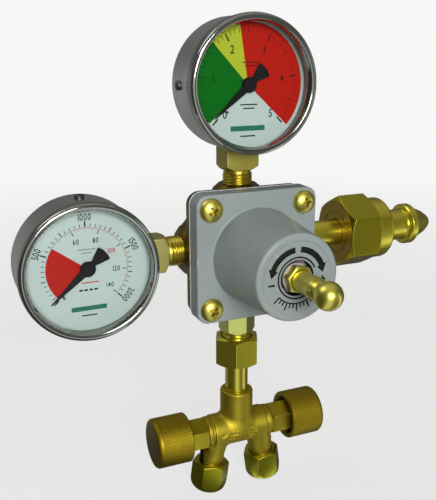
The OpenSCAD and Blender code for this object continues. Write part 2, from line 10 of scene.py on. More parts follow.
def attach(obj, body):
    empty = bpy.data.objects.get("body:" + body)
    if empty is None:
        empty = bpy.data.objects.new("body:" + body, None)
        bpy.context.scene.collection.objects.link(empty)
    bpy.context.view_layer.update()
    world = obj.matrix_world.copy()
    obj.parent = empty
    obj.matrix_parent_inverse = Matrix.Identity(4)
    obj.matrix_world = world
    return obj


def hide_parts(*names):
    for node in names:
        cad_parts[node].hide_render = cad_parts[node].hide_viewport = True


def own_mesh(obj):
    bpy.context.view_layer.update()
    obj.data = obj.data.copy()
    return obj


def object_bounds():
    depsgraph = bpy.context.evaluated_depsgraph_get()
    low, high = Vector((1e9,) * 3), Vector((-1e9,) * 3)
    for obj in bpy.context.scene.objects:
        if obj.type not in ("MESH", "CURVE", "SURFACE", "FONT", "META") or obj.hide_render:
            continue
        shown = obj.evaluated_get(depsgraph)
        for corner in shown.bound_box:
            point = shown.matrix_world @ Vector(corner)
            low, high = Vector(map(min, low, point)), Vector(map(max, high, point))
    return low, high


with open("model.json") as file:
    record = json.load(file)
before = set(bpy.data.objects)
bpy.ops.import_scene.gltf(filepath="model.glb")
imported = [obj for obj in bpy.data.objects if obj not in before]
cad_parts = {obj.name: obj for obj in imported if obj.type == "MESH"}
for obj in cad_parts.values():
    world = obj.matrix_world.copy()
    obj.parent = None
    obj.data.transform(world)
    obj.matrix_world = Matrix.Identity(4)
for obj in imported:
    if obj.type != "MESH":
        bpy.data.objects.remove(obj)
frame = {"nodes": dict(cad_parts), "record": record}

cad_lo, cad_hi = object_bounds()
BODY = {n: b for b, ns in frame["record"]["behaviour"]["bodies"].items() for n in ns}
scene = bpy.context.scene
scene.view_settings.view_transform = "Standard"
scene.cycles.caustics_reflective = False

# Shapes are written in millimetres about the body's centre; the row frame's origin is 91 mm along +X.
SHIFT = np.array([-91.0, 0.0, 0.0])
CAM = Vector((-0.21836, -0.27507, 0.08333))


# ---------------------------------------------------------------- camera, floor, light
def make_camera():
    cam = bpy.data.cameras.new("camera")
    cam.lens, cam.sensor_width, cam.sensor_fit = 50.66, 36.0, "AUTO"
    cam.clip_start, cam.clip_end = 0.01, 50
    o = bpy.data.objects.new("camera", cam)
    r = Vector((0.91841, -0.39561, -0.00357)).normalized()
    f = Vector((0.37952, 0.88355, -0.27443))
    f = (f - r * f.dot(r)).normalized()
    u = r.cross(f)
    o.matrix_world = Matrix(((r.x, u.x, -f.x, CAM.x), (r.y, u.y, -f.y, CAM.y), (r.z, u.z, -f.z, CAM.z), (0, 0, 0, 1)))
    scene.collection.objects.link(o)
    scene.camera = o
    return o


def area(name, at, to, size, power, colour=(1, 1, 1), size_y=None):
    lamp = bpy.data.lights.new(name, "AREA")
    lamp.shape = "RECTANGLE"
    lamp.size, lamp.size_y = size, size_y or size
    lamp.energy, lamp.color = power, colour
    o = bpy.data.objects.new(name, lamp)
    o.location = at
    o.rotation_euler = (Vector(to) - Vector(at)).to_track_quat("-Z", "Y").to_euler()
    scene.collection.objects.link(o)
    return o


# ---------------------------------------------------------------- mesh tools
MX = np.array([[0, 0, 1], [0, 1, 0], [-1, 0, 0]], float)
MY = np.array([[1, 0, 0], [0, 0, 1], [0, -1, 0]], float)
MZ = np.eye(3)
HALF = np.diag([-1.0, -1.0, 1.0])


def rot_y(deg):
    c, s = math.cos(math.radians(deg)), math.sin(math.radians(deg))
    return np.array([[c, 0, s], [0, 1, 0], [-s, 0, c]])


class Shape:
    """Vertices in mm, faces and material numbers, added up part by part."""

    def __init__(self):
        self.v, self.f, self.m, self.count = [], [], [], 0

    def add(self, verts, faces, mat=0):
        verts = np.asarray(verts, float).reshape(-1, 3)
        self.v.append(verts)
        base = self.count
        self.f += [tuple(int(i) + base for i in f) for f in faces]
        self.m += [mat] * len(faces)
        self.count += len(verts)
        return self

    def grid(self, p, wrap_u=True, wrap_v=False, mat=0):
        nu, nv = p.shape[:2]
        iu = np.arange(nu if wrap_u else nu - 1)
        iv = np.arange(nv if wrap_v else nv - 1)
        a, b = np.meshgrid(iu, iv, indexing="ij")
        a, b = a.ravel(), b.ravel()
        a2, b2 = (a + 1) % nu, (b + 1) % nv
        faces = np.stack([a * nv + b, a2 * nv + b, a2 * nv + b2, a * nv + b2], 1)
        return self.add(p, faces.tolist(), mat)


def build(name, shape, mats, weld=0.004, sharp=None, weighted=True, bevel=None):
    """Shape to object: welded, normals outwards, smooth."""
    me = bpy.data.meshes.new(name)
    co = (np.concatenate(shape.v) + SHIFT) * 0.001
    me.from_pydata(co.tolist(), [], shape.f)
    me.polygons.foreach_set("material_index", shape.m)
    bm = bmesh.new()
    bm.from_mesh(me)
    bmesh.ops.remove_doubles(bm, verts=bm.verts, dist=weld * 0.001)
    bmesh.ops.dissolve_degenerate(bm, edges=bm.edges, dist=1e-7)
    bmesh.ops.recalc_face_normals(bm, faces=bm.faces)
    bm.to_mesh(me)
    bm.free()
    for m in mats:
        me.materials.append(m)
    me.polygons.foreach_set("use_smooth", [True] * len(me.polygons))
    if sharp:
        me.set_sharp_from_angle(angle=math.radians(sharp))
    o = bpy.data.objects.new(name, me)
    scene.collection.objects.link(o)
    if bevel:
        b = o.modifiers.new("bevel", "BEVEL")
        b.width, b.segments, b.limit_method, b.angle_limit = bevel * 0.001, 3, "ANGLE", math.radians(35)
    if weighted:
        w = o.modifiers.new("weighted", "WEIGHTED_NORMAL")
        w.keep_sharp, w.weight = True, 80
    return o


def apply_modifiers(o):
    dg = bpy.context.evaluated_depsgraph_get()
    me = bpy.data.meshes.new_from_object(o.evaluated_get(dg), depsgraph=dg)
    o.modifiers.clear()
    o.data = me
    return o


def cut(o, cutter, operation="DIFFERENCE"):
    """Applies a boolean with another object, which goes away."""
    bpy.context.view_layer.update()
    b = o.modifiers.new("cut", "BOOLEAN")
    b.object, b.operation, b.solver = cutter, operation, "EXACT"
    kept = [m for m in o.modifiers if m.type != "BOOLEAN"]
    for m in kept:
        m.show_viewport = False
    dg = bpy.context.evaluated_depsgraph_get()
    me = bpy.data.meshes.new_from_object(o.evaluated_get(dg), depsgraph=dg)
    o.modifiers.remove(b)
    for m in kept:
        m.show_viewport = True
    o.data = me
    bpy.data.objects.remove(cutter)
    return o


def place(o, slot, *nodes):
    """o stands for CAD nodes and rides on their body; slot is not used."""
    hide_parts(*nodes)
    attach(o, BODY[nodes[0]])
    return o


def fillet(pts, n=5, closed=False):
    """(a, b, radius) corners to a polyline with arcs; the same number of points whatever the corners' places."""
    out, count = [], len(pts)
    for i, p in enumerate(pts):
        f = p[2] if len(p) > 2 else 0.0
        c = np.array(p[:2], float)
        if f <= 0 or (not closed and i in (0, count - 1)):
            out.append(c)
            continue
        a = np.array(pts[i - 1][:2], float) - c
        b = np.array(pts[(i + 1) % count][:2], float) - c
        la, lb = np.linalg.norm(a), np.linalg.norm(b)
        if la < 1e-9 or lb < 1e-9:
            out += [c] * (n + 1)
            continue
        a, b = a / la, b / lb
        ang = math.acos(max(-1.0, min(1.0, float(a @ b))))
        if ang > math.pi - 0.01 or ang < 0.01:
            out += [c] * (n + 1)
            continue
        t = min(f / math.tan(ang / 2), 0.47 * la, 0.47 * lb)
        f = t * math.tan(ang / 2)
        mid = c + (a + b) / np.linalg.norm(a + b) * f / math.sin(ang / 2)
        w0, w1, turn = c + a * t - mid, c + b * t - mid, math.pi - ang
        for k in range(n + 1):
            s = k / n
            out.append(mid + (math.sin((1 - s) * turn) * w0 + math.sin(s * turn) * w1) / math.sin(turn))
    return np.array(out)


def turned(pts, m=MZ, at=(0, 0, 0), seg=96, n=5, closed=False, angles=None):
    """Lathe grid: pts are (radius, height along the axis, corner radius)."""
    pr = fillet(pts, n, closed)
    th = np.linspace(0, 2 * math.pi, seg, endpoint=False) if angles is None else angles
    p = np.zeros((len(th), len(pr), 3))
    p[..., 0] = np.cos(th)[:, None] * pr[None, :, 0]
    p[..., 1] = np.sin(th)[:, None] * pr[None, :, 0]
    p[..., 2] = pr[None, :, 1]
    return p @ np.asarray(m).T + np.array(at, float)


def columns(fn, angles, m=MZ, at=(0, 0, 0), n=4, closed=False):
    """As turned(), but fn(angle) gives that column's own profile."""
    rows = [fillet(fn(t), n, closed) for t in angles]
    pr = np.array(rows)
    p = np.zeros(pr.shape[:2] + (3,))
    p[..., 0] = np.cos(angles)[:, None] * pr[..., 0]
    p[..., 1] = np.sin(angles)[:, None] * pr[..., 0]
    p[..., 2] = pr[..., 1]
    return p @ np.asarray(m).T + np.array(at, float)


def hex_radius(th, af, rho):
    """Distance to a hexagon with rounded corners; a corner lies at angle 0."""
    ph = (th % (math.pi / 3)) - math.pi / 6
    a = af / 2
    lim = math.atan((a - rho) * math.tan(math.pi / 6) / a)
    if abs(ph) <= lim:
        return a / math.cos(ph)
    d = math.pi / 6 - abs(ph)
    dc = (a - rho) / math.cos(math.pi / 6)
    return dc * math.cos(d) + math.sqrt(max(rho * rho - (dc * math.sin(d)) ** 2, 0))


def hex_angles(af, rho, flats=10, corner=6):
    a = af / 2
    lim = math.atan((a - rho) * math.tan(math.pi / 6) / a)
    c = math.pi / 6 - lim
    one = list(np.linspace(-c, c, corner * 2, endpoint=False)) + list(np.linspace(c, math.pi / 3 - c, flats, endpoint=False))
    return np.array([k * math.pi / 3 + x for k in range(6) for x in one])


def chamfer(rh, pts, n=6):
    """Points of a turned end from the hexagon's radius rh in to the first point: pts run outwards (radius, height)."""
    rr, zz = np.array([p[0] for p in pts]), np.array([p[1] for p in pts])
    r0 = rr[0]
    rh = max(rh, r0 + 0.02)
    return [(r0 + (rh - r0) * k / n, float(np.interp(r0 + (rh - r0) * k / n, rr, zz))) for k in range(n, -1, -1)]


def arc_pts(r0, z0, r1, z1, sag, n=10):
    """A gently crowned line from (r0, z0) to (r1, z1)."""
    out = []
    for k in range(n + 1):
        s = k / n
        dr, dz = r1 - r0, z1 - z0
        ln = math.hypot(dr, dz)
        b = 4 * sag * s * (1 - s)
        out.append((r0 + dr * s + b * abs(dz) / ln, z0 + dz * s - b * abs(dr) / ln * (1 if dz > 0 else -1)))
    return out


def extrude(shape, v2, faces, y0, y1, mat=0):
    """A flat drawing in X and Z as a closed slab from Y = y0 (front) to y1."""
    v2 = np.asarray(v2, float)
    nv = len(v2)
    v = np.zeros((2 * nv, 3))
    v[:nv, 0], v[:nv, 2], v[:nv, 1] = v2[:, 0], v2[:, 1], y0
    v[nv:, 0], v[nv:, 2], v[nv:, 1] = v2[:, 0], v2[:, 1], y1
    edges = {}
    for f in faces:
        for i in range(len(f)):
            a, b = f[i], f[(i + 1) % len(f)]
            if (b, a) in edges:
                del edges[(b, a)]
            else:
                edges[(a, b)] = 1
    out = [tuple(f) for f in faces] + [tuple(i + nv for i in reversed(f)) for f in faces]
    out += [(b, a, a + nv, b + nv) for a, b in edges]
    return shape.add(v, out, mat)


def sector2d(r0, r1, a0, a1, step=2.0):
    n = max(2, int(abs(a1 - a0) / step) + 1)
    a = np.radians(np.linspace(a0, a1, n))
    v = [(r0 * math.cos(t), r0 * math.sin(t)) for t in a] + [(r1 * math.cos(t), r1 * math.sin(t)) for t in a]
    return v, [(i, i + 1, n + i + 1, n + i) for i in range(n - 1)]


def tick2d(r0, r1, ang, w):
    c, s = math.cos(math.radians(ang)), math.sin(math.radians(ang))
    q = [(r0, -w / 2), (r1, -w / 2), (r1, w / 2), (r0, w / 2)]
    return [(x * c - y * s, x * s + y * c) for x, y in q], [(0, 1, 2, 3)]


GLYPHS = {}


def glyph(ch):
    """A character's flat mesh, one unit high, centred."""
    if ch not in GLYPHS:
        cu = bpy.data.curves.new("glyph", "FONT")
        cu.body, cu.size, cu.resolution_u, cu.offset = ch, 1.0, 6, 0.012
        o = bpy.data.objects.new("glyph", cu)
        scene.collection.objects.link(o)
        bpy.context.view_layer.update()
        me = bpy.data.meshes.new_from_object(o.evaluated_get(bpy.context.evaluated_depsgraph_get()))
        v = np.array([x.co[:2] for x in me.vertices], float)
        f = [tuple(p.vertices) for p in me.polygons]
        bpy.data.objects.remove(o)
        bpy.data.meshes.remove(me)
        lo, hi = v.min(0), v.max(0)
        v[:, 0] -= (lo[0] + hi[0]) / 2
        v[:, 1] -= lo[1] if ch != "-" else (lo[1] + hi[1]) / 2
        h = 0.73
        v /= h
        GLYPHS[ch] = (v, f, (hi[0] - lo[0]) / h)
    return GLYPHS[ch]


def arc_text(shape, text, r, ang, h, y0, y1, mat, squeeze=0.85, gap=0.14, upright=False):
    """Digits along a circle of radius r (their feet), centred at ang degrees, tops outwards; or level, centred at that point."""
    ws = [glyph(c)[2] * h * squeeze for c in text]
    total = sum(ws) + gap * h * (len(ws) - 1)
    x = -total / 2
    for c, w in zip(text, ws):
        v, f, _ = glyph(c)
        q = v * np.array([h * squeeze, h])
        mid = x + w / 2
        if upright:
            ca = math.radians(ang)
            q = q + np.array([mid + r * math.cos(ca), r * math.sin(ca) - h / 2])
        else:
            t = math.radians(ang) - mid / (r + h / 2)
            c0, s0 = math.cos(t - math.pi / 2), math.sin(t - math.pi / 2)
            q = np.stack([q[:, 0] * c0 - (q[:, 1] + r) * s0, q[:, 0] * s0 + (q[:, 1] + r) * c0], 1)
        extrude(shape, q, f, y0, y1, mat)
        x += w + gap * h
    return shape


# ---------------------------------------------------------------- signed distances for cast shapes
def d_poly(r, z, pts):
    """Distance to a closed polygon in the plane, negative inside."""
    pts = np.array(pts, float)
    best = np.full(r.shape, 1e9)
    sign = np.ones(r.shape)
    n = len(pts)
    for i in range(n):
        a, b = pts[i], pts[(i + 1) % n]
        e = b - a
        wr, wz = r - a[0], z - a[1]
        t = np.clip((wr * e[0] + wz * e[1]) / max(e @ e, 1e-12), 0, 1)
        best = np.minimum(best, (wr - e[0] * t) ** 2 + (wz - e[1] * t) ** 2)
        c1, c2, c3 = z >= a[1], z < b[1], e[0] * wz > e[1] * wr
        flip = (c1 & c2 & c3) | (~c1 & ~c2 & ~c3)
        sign = np.where(flip, -sign, sign)
    return sign * np.sqrt(best)


def d_rev(p, prof, axis, rnd=0.0, at=(0, 0, 0)):
    """Turned shape about an axis vector; the profile is mirrored past the axis, so it has no edge there."""
    ax = np.array(axis, float)
    ax = ax / np.linalg.norm(ax)
    q = p - np.array(at, float)
    z = q @ ax
    r = np.sqrt(np.maximum((q * q).sum(-1) - z * z, 0))
    full = [(a - (0 if a == 0 else rnd), b) for a, b in prof]
    mir = full + [(-a, b) for a, b in reversed(full)]
    return d_poly(r, z, mir) - rnd


def d_cyl(p, axis, r, a, b, at=(0, 0, 0), rnd=0.0):
    ax = np.array(axis, float)
    ax = ax / np.linalg.norm(ax)
    q = p - np.array(at, float)
    z = q @ ax
    rr = np.sqrt(np.maximum((q * q).sum(-1) - z * z, 0)) - r + rnd
    h = np.abs(z - (a + b) / 2) - (b - a) / 2 + rnd
    return np.hypot(np.maximum(rr, 0), np.maximum(h, 0)) + np.minimum(np.maximum(rr, h), 0) - rnd


def d_slab(p, half, rc, y0, y1, rnd):
    """Square slab across X and Z with round corners rc."""
    qx, qz = np.abs(p[:, 0]) - half + rc, np.abs(p[:, 2]) - half + rc
    d2 = np.hypot(np.maximum(qx, 0), np.maximum(qz, 0)) + np.minimum(np.maximum(qx, qz), 0) - rc + rnd
    h = np.abs(p[:, 1] - (y0 + y1) / 2) - (y1 - y0) / 2 + rnd
    return np.hypot(np.maximum(d2, 0), np.maximum(h, 0)) + np.minimum(np.maximum(d2, h), 0) - rnd


def smin(a, b, k):
    h = np.clip(0.5 + 0.5 * (b - a) / k, 0, 1)
    return b * (1 - h) + a * h - k * h * (1 - h)


def smax(a, b, k):
    return -smin(-a, -b, k)


def nets(fn, lo, hi, h):
    """Surface of fn = 0 as quads, each point pulled onto the surface."""
    lo, hi = np.array(lo, float), np.array(hi, float)
    n = np.ceil((hi - lo) / h).astype(int) + 1
    ax = [lo[i] + h * np.arange(n[i]) for i in range(3)]
    g = np.stack(np.meshgrid(*ax, indexing="ij"), -1).reshape(-1, 3)
    val = np.empty(len(g))
    for s in range(0, len(g), 400000):
        val[s:s + 400000] = fn(g[s:s + 400000])
    val = val.reshape(n)
    ins = val < 0
    corners = [(i, j, k) for i in (0, 1) for j in (0, 1) for k in (0, 1)]
    count = sum(ins[i:n[0] - 1 + i, j:n[1] - 1 + j, k:n[2] - 1 + k].astype(int) for i, j, k in corners)
    cell = np.argwhere((count > 0) & (count < 8))
    index = -np.ones(tuple(n - 1), int)
    index[cell[:, 0], cell[:, 1], cell[:, 2]] = np.arange(len(cell))
    total, hits = np.zeros((len(cell), 3)), np.zeros(len(cell))
    for a in corners:
        for d in range(3):
            if a[d]:
                continue
            b = list(a)
            b[d] = 1
            va = val[cell[:, 0] + a[0], cell[:, 1] + a[1], cell[:, 2] + a[2]]
            vb = val[cell[:, 0] + b[0], cell[:, 1] + b[1], cell[:, 2] + b[2]]
            x = (va < 0) != (vb < 0)
            t = np.where(x, va / np.where(np.abs(va - vb) < 1e-12, 1, va - vb), 0)
            pos = np.tile(np.array(a, float), (len(cell), 1))
            pos[:, d] += t
            total[x] += pos[x]
            hits[x] += 1
    v = lo + h * (cell + total / hits[:, None])
    faces = []
    for d in range(3):
        e, f = (d + 1) % 3, (d + 2) % 3
        s0 = [slice(None)] * 3
        s1 = [slice(None)] * 3
        s0[d], s1[d] = slice(0, -1), slice(1, None)
        cross = ins[tuple(s0)] != ins[tuple(s1)]
        at = np.argwhere(cross)
        at = at[(at[:, e] > 0) & (at[:, f] > 0) & (at[:, e] < n[e] - 1) & (at[:, f] < n[f] - 1)]
        q = []
        for de, df in ((-1, -1), (0, -1), (0, 0), (-1, 0)):
            c = at.copy()
            c[:, e] += de
            c[:, f] += df
            q.append(index[c[:, 0], c[:, 1], c[:, 2]])
        q = np.stack(q, 1)
        out = ins[tuple(s0)][at[:, 0], at[:, 1], at[:, 2]]
        q[~out] = q[~out][:, ::-1]
        faces.append(q[(q >= 0).all(1)])
    for _ in range(3):
        d0 = fn(v)
        grad = np.stack([(fn(v + np.eye(3)[i] * 0.02) - d0) / 0.02 for i in range(3)], 1)
        g2 = np.maximum((grad ** 2).sum(1), 0.2)
        v = v - grad * np.clip(d0 / g2, -h / 2, h / 2)[:, None]
    return v, np.concatenate(faces).tolist()


# ---------------------------------------------------------------- materials
class Nodes:
    def __init__(self, name):
        self.mat = bpy.data.materials.new(name)
        self.mat.use_nodes = True
        self.t = self.mat.node_tree
        self.t.nodes.clear()
        self.out = self.t.nodes.new("ShaderNodeOutputMaterial")
        self.co = self.t.nodes.new("ShaderNodeTexCoord").outputs["Object"]

    def new(self, kind, **props):
        n = self.t.nodes.new(kind)
        for k, v in props.items():
            setattr(n, k, v)
        return n

    def link(self, a, b):
        self.t.links.new(a, b)

    def maths(self, op, a, b=None, c=None, clamp=False):
        n = self.new("ShaderNodeMath", operation=op, use_clamp=clamp)
        for i, x in enumerate((a, b, c)):
            if x is None:
                continue
            if isinstance(x, (int, float)):
                n.inputs[i].default_value = x
            else:
                self.link(x, n.inputs[i])
        return n.outputs[0]

    def vec(self, op, a, b):
        n = self.new("ShaderNodeVectorMath", operation=op)
        self.link(a, n.inputs[0])
        if isinstance(b, (tuple, list, np.ndarray)):
            n.inputs[1].default_value = tuple(b)
        elif op == "SCALE":
            n.inputs["Scale"].default_value = b
        else:
            self.link(b, n.inputs[1])
        return n.outputs["Value" if op == "DOT_PRODUCT" else "Vector"]

    def noise(self, co, scale, detail=3.0, rough=0.55, distortion=0.0):
        n = self.new("ShaderNodeTexNoise")
        self.link(co, n.inputs["Vector"])
        n.inputs["Scale"].default_value = scale
        n.inputs["Detail"].default_value = detail
        n.inputs["Roughness"].default_value = rough
        n.inputs["Distortion"].default_value = distortion
        return n.outputs[0]

    def ramp(self, fac, stops):
        n = self.new("ShaderNodeValToRGB")
        self.link(fac, n.inputs[0])
        fill_ramp(n.color_ramp, stops)
        return n.outputs[0]

    def mix(self, fac, a, b, blend="MIX"):
        n = self.new("ShaderNodeMix", data_type="RGBA", blend_type=blend)
        for i, x in ((0, fac), (6, a), (7, b)):
            if isinstance(x, (int, float)):
                n.inputs[i].default_value = x
            elif isinstance(x, (tuple, list)):
                n.inputs[i].default_value = tuple(x) + (1,)
            else:
                self.link(x, n.inputs[i])
        return n.outputs[2]

    def ranged(self, fac, lo, hi, a=0.0, b=1.0):
        n = self.new("ShaderNodeMapRange")
        self.link(fac, n.inputs[0])
        n.inputs[1].default_value, n.inputs[2].default_value = a, b
        n.inputs[3].default_value, n.inputs[4].default_value = lo, hi
        return n.outputs[0]

    def bump(self, height, strength, distance, normal=None):
        n = self.new("ShaderNodeBump")
        n.inputs["Strength"].default_value = strength
        n.inputs["Distance"].default_value = distance
        self.link(height, n.inputs["Height"])
        if normal is not None:
            self.link(normal, n.inputs["Normal"])
        return n.outputs[0]

    def shader(self, **sockets):
        n = self.new("ShaderNodeBsdfPrincipled")
        for k, v in sockets.items():
            s = n.inputs[k.replace("_", " ")]
            if hasattr(v, "links") or hasattr(v, "is_output"):
                self.link(v, s)
            elif isinstance(v, (tuple, list)):
                s.default_value = tuple(v) + (1,) if len(v) == 3 else tuple(v)
            else:
                s.default_value = v
        return n.outputs[0]

    def done(self, shader):
        self.link(shader, self.out.inputs["Surface"])
        return self.mat

    def about(self, axis, centre):
        """(distance along the axis, distance from it) in metres, centre in mm about the body's centre."""
        c = (np.array(centre, float) + SHIFT) * 0.001
        q = self.vec("SUBTRACT", self.co, tuple(c))
        ax = np.array(axis, float)
        ax = ax / np.linalg.norm(ax)
        along = self.vec("DOT_PRODUCT", q, tuple(ax))
        sq = self.vec("DOT_PRODUCT", q, q)
        rad = self.maths("SQRT", self.maths("MAXIMUM", self.maths("SUBTRACT", sq, self.maths("MULTIPLY", along, along)), 0.0))
        return along, rad

    def combine(self, x, y=None, z=None):
        n = self.new("ShaderNodeCombineXYZ")
        for i, v in enumerate((x, y, z)):
            if v is not None:
                if isinstance(v, (int, float)):
                    n.inputs[i].default_value = v
                else:
                    self.link(v, n.inputs[i])
        return n.outputs[0]

    def edge(self, lo=0.52, hi=0.60):
        """1 along sharp outer edges, where edge wear and a painted edge highlight go."""
        return self.ranged(self.new("ShaderNodeNewGeometry").outputs["Pointiness"], 0, 1, lo, hi)


def brass(name, kind, axis=(0, 0, 1), centre=(0, 0, 0), light=(0.78, 0.68, 0.075), dark=(0.62, 0.52, 0.045),
          tarnish=(0.24, 0.19, 0.03), grime=0.12, rough=0.27, grooves=0.03, edge_rub_and_highlight=0.12, coat=0.12, fleck=0.7):
    """Brass turned on a lathe, drawn bar, or cast and tumbled."""
    k = Nodes(name)
    big = k.noise(k.co, 55, 4, 0.6)
    spots = k.noise(k.co, 420, 5, 0.65)
    tone = k.ramp(big, [(0.30, dark), (0.62, light)])
    stain = k.ranged(k.maths("MULTIPLY", spots, big), 0, grime, 0.24, 0.46)
    colour = k.mix(stain, tone, tarnish)
    if kind == "turned":
        along, rad = k.about(axis, centre)
        ring = k.noise(k.combine(along, rad), 1500, 2, 0.5)
        wide = k.noise(k.combine(along, rad), 500, 2, 0.5)
        lines = k.maths("ADD", k.maths("MULTIPLY", ring, 0.6), k.maths("MULTIPLY", wide, 0.4))
        h, strength, dist = lines, grooves * 0.35, 0.00012
        colour = k.mix(k.ranged(wide, 0.0, 0.10 * fleck, 0.35, 0.75), colour, dark)
        r0 = k.maths("ADD", k.ranged(lines, rough - 0.04, rough + 0.05, 0.3, 0.7), k.ranged(spots, -0.01, 0.03, 0.3, 0.7))
    elif kind == "drawn":
        along, rad = k.about(axis, centre)
        stretched = k.vec("SUBTRACT", k.co, k.vec("SCALE", axis_vector(k, axis, along), 0.93))
        streak = k.noise(stretched, 1500, 3, 0.6)
        h, strength, dist = streak, grooves, 0.00012
        colour = k.mix(k.ranged(streak, 0.0, 0.12 * fleck, 0.35, 0.7), colour, dark)
        r0 = k.maths("ADD", k.ranged(streak, rough - 0.03 * fleck, rough + 0.05 * fleck, 0.3, 0.7), k.ranged(spots, -0.01, 0.03, 0.3, 0.7))
    else:
        grain = k.noise(k.co, 900, 5, 0.65)
        pits = k.noise(k.co, 2600, 2, 0.5)
        h = k.maths("ADD", k.maths("MULTIPLY", grain, 0.75), k.maths("MULTIPLY", k.ranged(pits, 0, 1, 0.28, 0.5), 0.25))
        strength, dist = grooves, 0.0002
        colour = k.mix(k.ranged(grain, 0.18 * fleck, 0.0, 0.3, 0.55), colour, dark)
        r0 = k.maths("ADD", k.ranged(grain, rough - 0.03, rough + 0.06, 0.3, 0.7), k.ranged(spots, -0.01, 0.03, 0.3, 0.7))
    # paler brass along sharp edges: partly edge wear, partly a painted edge highlight
    rubbed_lit_edge_mask = k.maths("MULTIPLY", k.edge(), k.ranged(spots, 0.4, 1.0, 0.35, 0.6))
    colour = k.mix(k.maths("MULTIPLY", rubbed_lit_edge_mask, edge_rub_and_highlight), colour, (0.93, 0.82, 0.30))
    roughness = k.maths("SUBTRACT", r0, k.maths("MULTIPLY", rubbed_lit_edge_mask, 0.06), clamp=True)
    return k.done(k.shader(Base_Color=colour, Metallic=1.0, Roughness=roughness, Coat_Weight=coat, Coat_Roughness=0.12, Coat_IOR=1.55,
                           Normal=k.bump(h, strength, dist)))


def axis_vector(k, axis, along):
    ax = np.array(axis, float)
    ax = ax / np.linalg.norm(ax)
    n = k.new("ShaderNodeVectorMath", operation="SCALE")
    n.inputs[0].default_value = tuple(ax)
    k.link(along, n.inputs["Scale"])
    return n.outputs[0]


def chrome(name, axis, centre, tint=(0.42, 0.43, 0.385), dark=(0.25, 0.255, 0.22), rough=0.07):
    k = Nodes(name)
    along, rad = k.about(axis, centre)
    ring = k.noise(k.combine(along, rad), 1900, 2, 0.5)
    haze = k.noise(k.co, 70, 4, 0.6)
    specks = k.noise(k.co, 900, 4, 0.7)
    colour = k.mix(k.ranged(haze, 0.0, 0.55, 0.35, 0.7), tint, dark)
    colour = k.mix(k.ranged(specks, 0.0, 0.12, 0.60, 0.72), colour, (0.30, 0.28, 0.22))
    r0 = k.maths("ADD", k.ranged(haze, rough - 0.03, rough + 0.06, 0.3, 0.7), k.ranged(specks, 0.0, 0.05, 0.55, 0.75), clamp=True)
    return k.done(k.shader(Base_Color=colour, Metallic=1.0, Roughness=r0, Normal=k.bump(ring, 0.02, 0.0001)))


def enamel(name, base, shade, rough=0.42, orange=0.10, coat=0.35, rubbed_and_highlit_edge_colour=None):
    """Sprayed enamel over a casting, with its fine orange peel; its outer edges go lighter, partly rubbed paint and
    partly a painted edge highlight.
    """
    k = Nodes(name)
    big = k.noise(k.co, 38, 4, 0.6)
    peel = k.noise(k.co, 950, 2, 0.5)
    fine = k.noise(k.co, 3200, 3, 0.6)
    colour = k.mix(k.ranged(big, 0, 1, 0.3, 0.7), base, shade)
    colour = k.mix(k.ranged(fine, 0.0, 0.10, 0.45, 0.7), colour, tuple(c * 0.6 for c in shade))
    # lighter paint along sharp edges: partly rubbed paint, partly a painted edge highlight
    if rubbed_and_highlit_edge_colour:
        colour = k.mix(k.maths("MULTIPLY", k.edge(0.53, 0.62), 0.7), colour, rubbed_and_highlit_edge_colour)
    h = k.maths("ADD", k.maths("MULTIPLY", peel, 0.8), k.maths("MULTIPLY", fine, 0.2))
    r0 = k.maths("ADD", k.ranged(big, rough - 0.05, rough + 0.05, 0.3, 0.7), k.ranged(fine, -0.02, 0.05, 0.3, 0.7))
    return k.done(k.shader(Base_Color=colour, Roughness=r0, Coat_Weight=coat, Coat_Roughness=0.18,
                           Normal=k.bump(h, orange, 0.0002)))


def print_ink(name, colour, shade, rough=0.55):
    """Screen-printed ink: slightly uneven, with a faint mesh grain."""
    k = Nodes(name)
    n = k.noise(k.co, 1500, 4, 0.65)
    m = k.noise(k.co, 160, 3, 0.5)
    c = k.mix(k.ranged(n, 0, 0.6, 0.4, 0.75), colour, shade)
    c = k.mix(k.ranged(m, 0, 0.35, 0.35, 0.7), c, shade)
    return k.done(k.shader(Base_Color=c, Roughness=k.ranged(n, rough - 0.07, rough + 0.08, 0.3, 0.7), Specular_IOR_Level=0.06, Normal=k.bump(n, 0.06, 0.00005)))


def metal(name, base, shade, rough=0.3, scale=900, strength=0.08, metallic=1.0, axis=None, centre=(0, 0, 0)):
    k = Nodes(name)
    big = k.noise(k.co, 90, 4, 0.6)
    if axis is None:
        fine = k.noise(k.co, scale, 4, 0.6)
    else:
        along, rad = k.about(axis, centre)
        fine = k.noise(k.combine(along, rad), scale, 2, 0.5)
    c = k.mix(k.ranged(big, 0, 1, 0.3, 0.7), base, shade)
    c = k.mix(k.ranged(fine, 0, 0.25, 0.4, 0.75), c, tuple(x * 0.5 for x in shade))
    return k.done(k.shader(Base_Color=c, Metallic=metallic, Roughness=k.ranged(fine, rough - 0.06, rough + 0.08, 0.3, 0.7),
                           Normal=k.bump(fine, strength, 0.0001)))


def rubber(name):
    k = Nodes(name)
    big, fine = k.noise(k.co, 120, 4, 0.6), k.noise(k.co, 1800, 4, 0.7)
    c = k.mix(k.ranged(big, 0, 1, 0.3, 0.7), (0.022, 0.022, 0.024), (0.045, 0.044, 0.042))
    return k.done(k.shader(Base_Color=c, Roughness=k.ranged(fine, 0.55, 0.75, 0.3, 0.7), Normal=k.bump(fine, 0.15, 0.0001)))


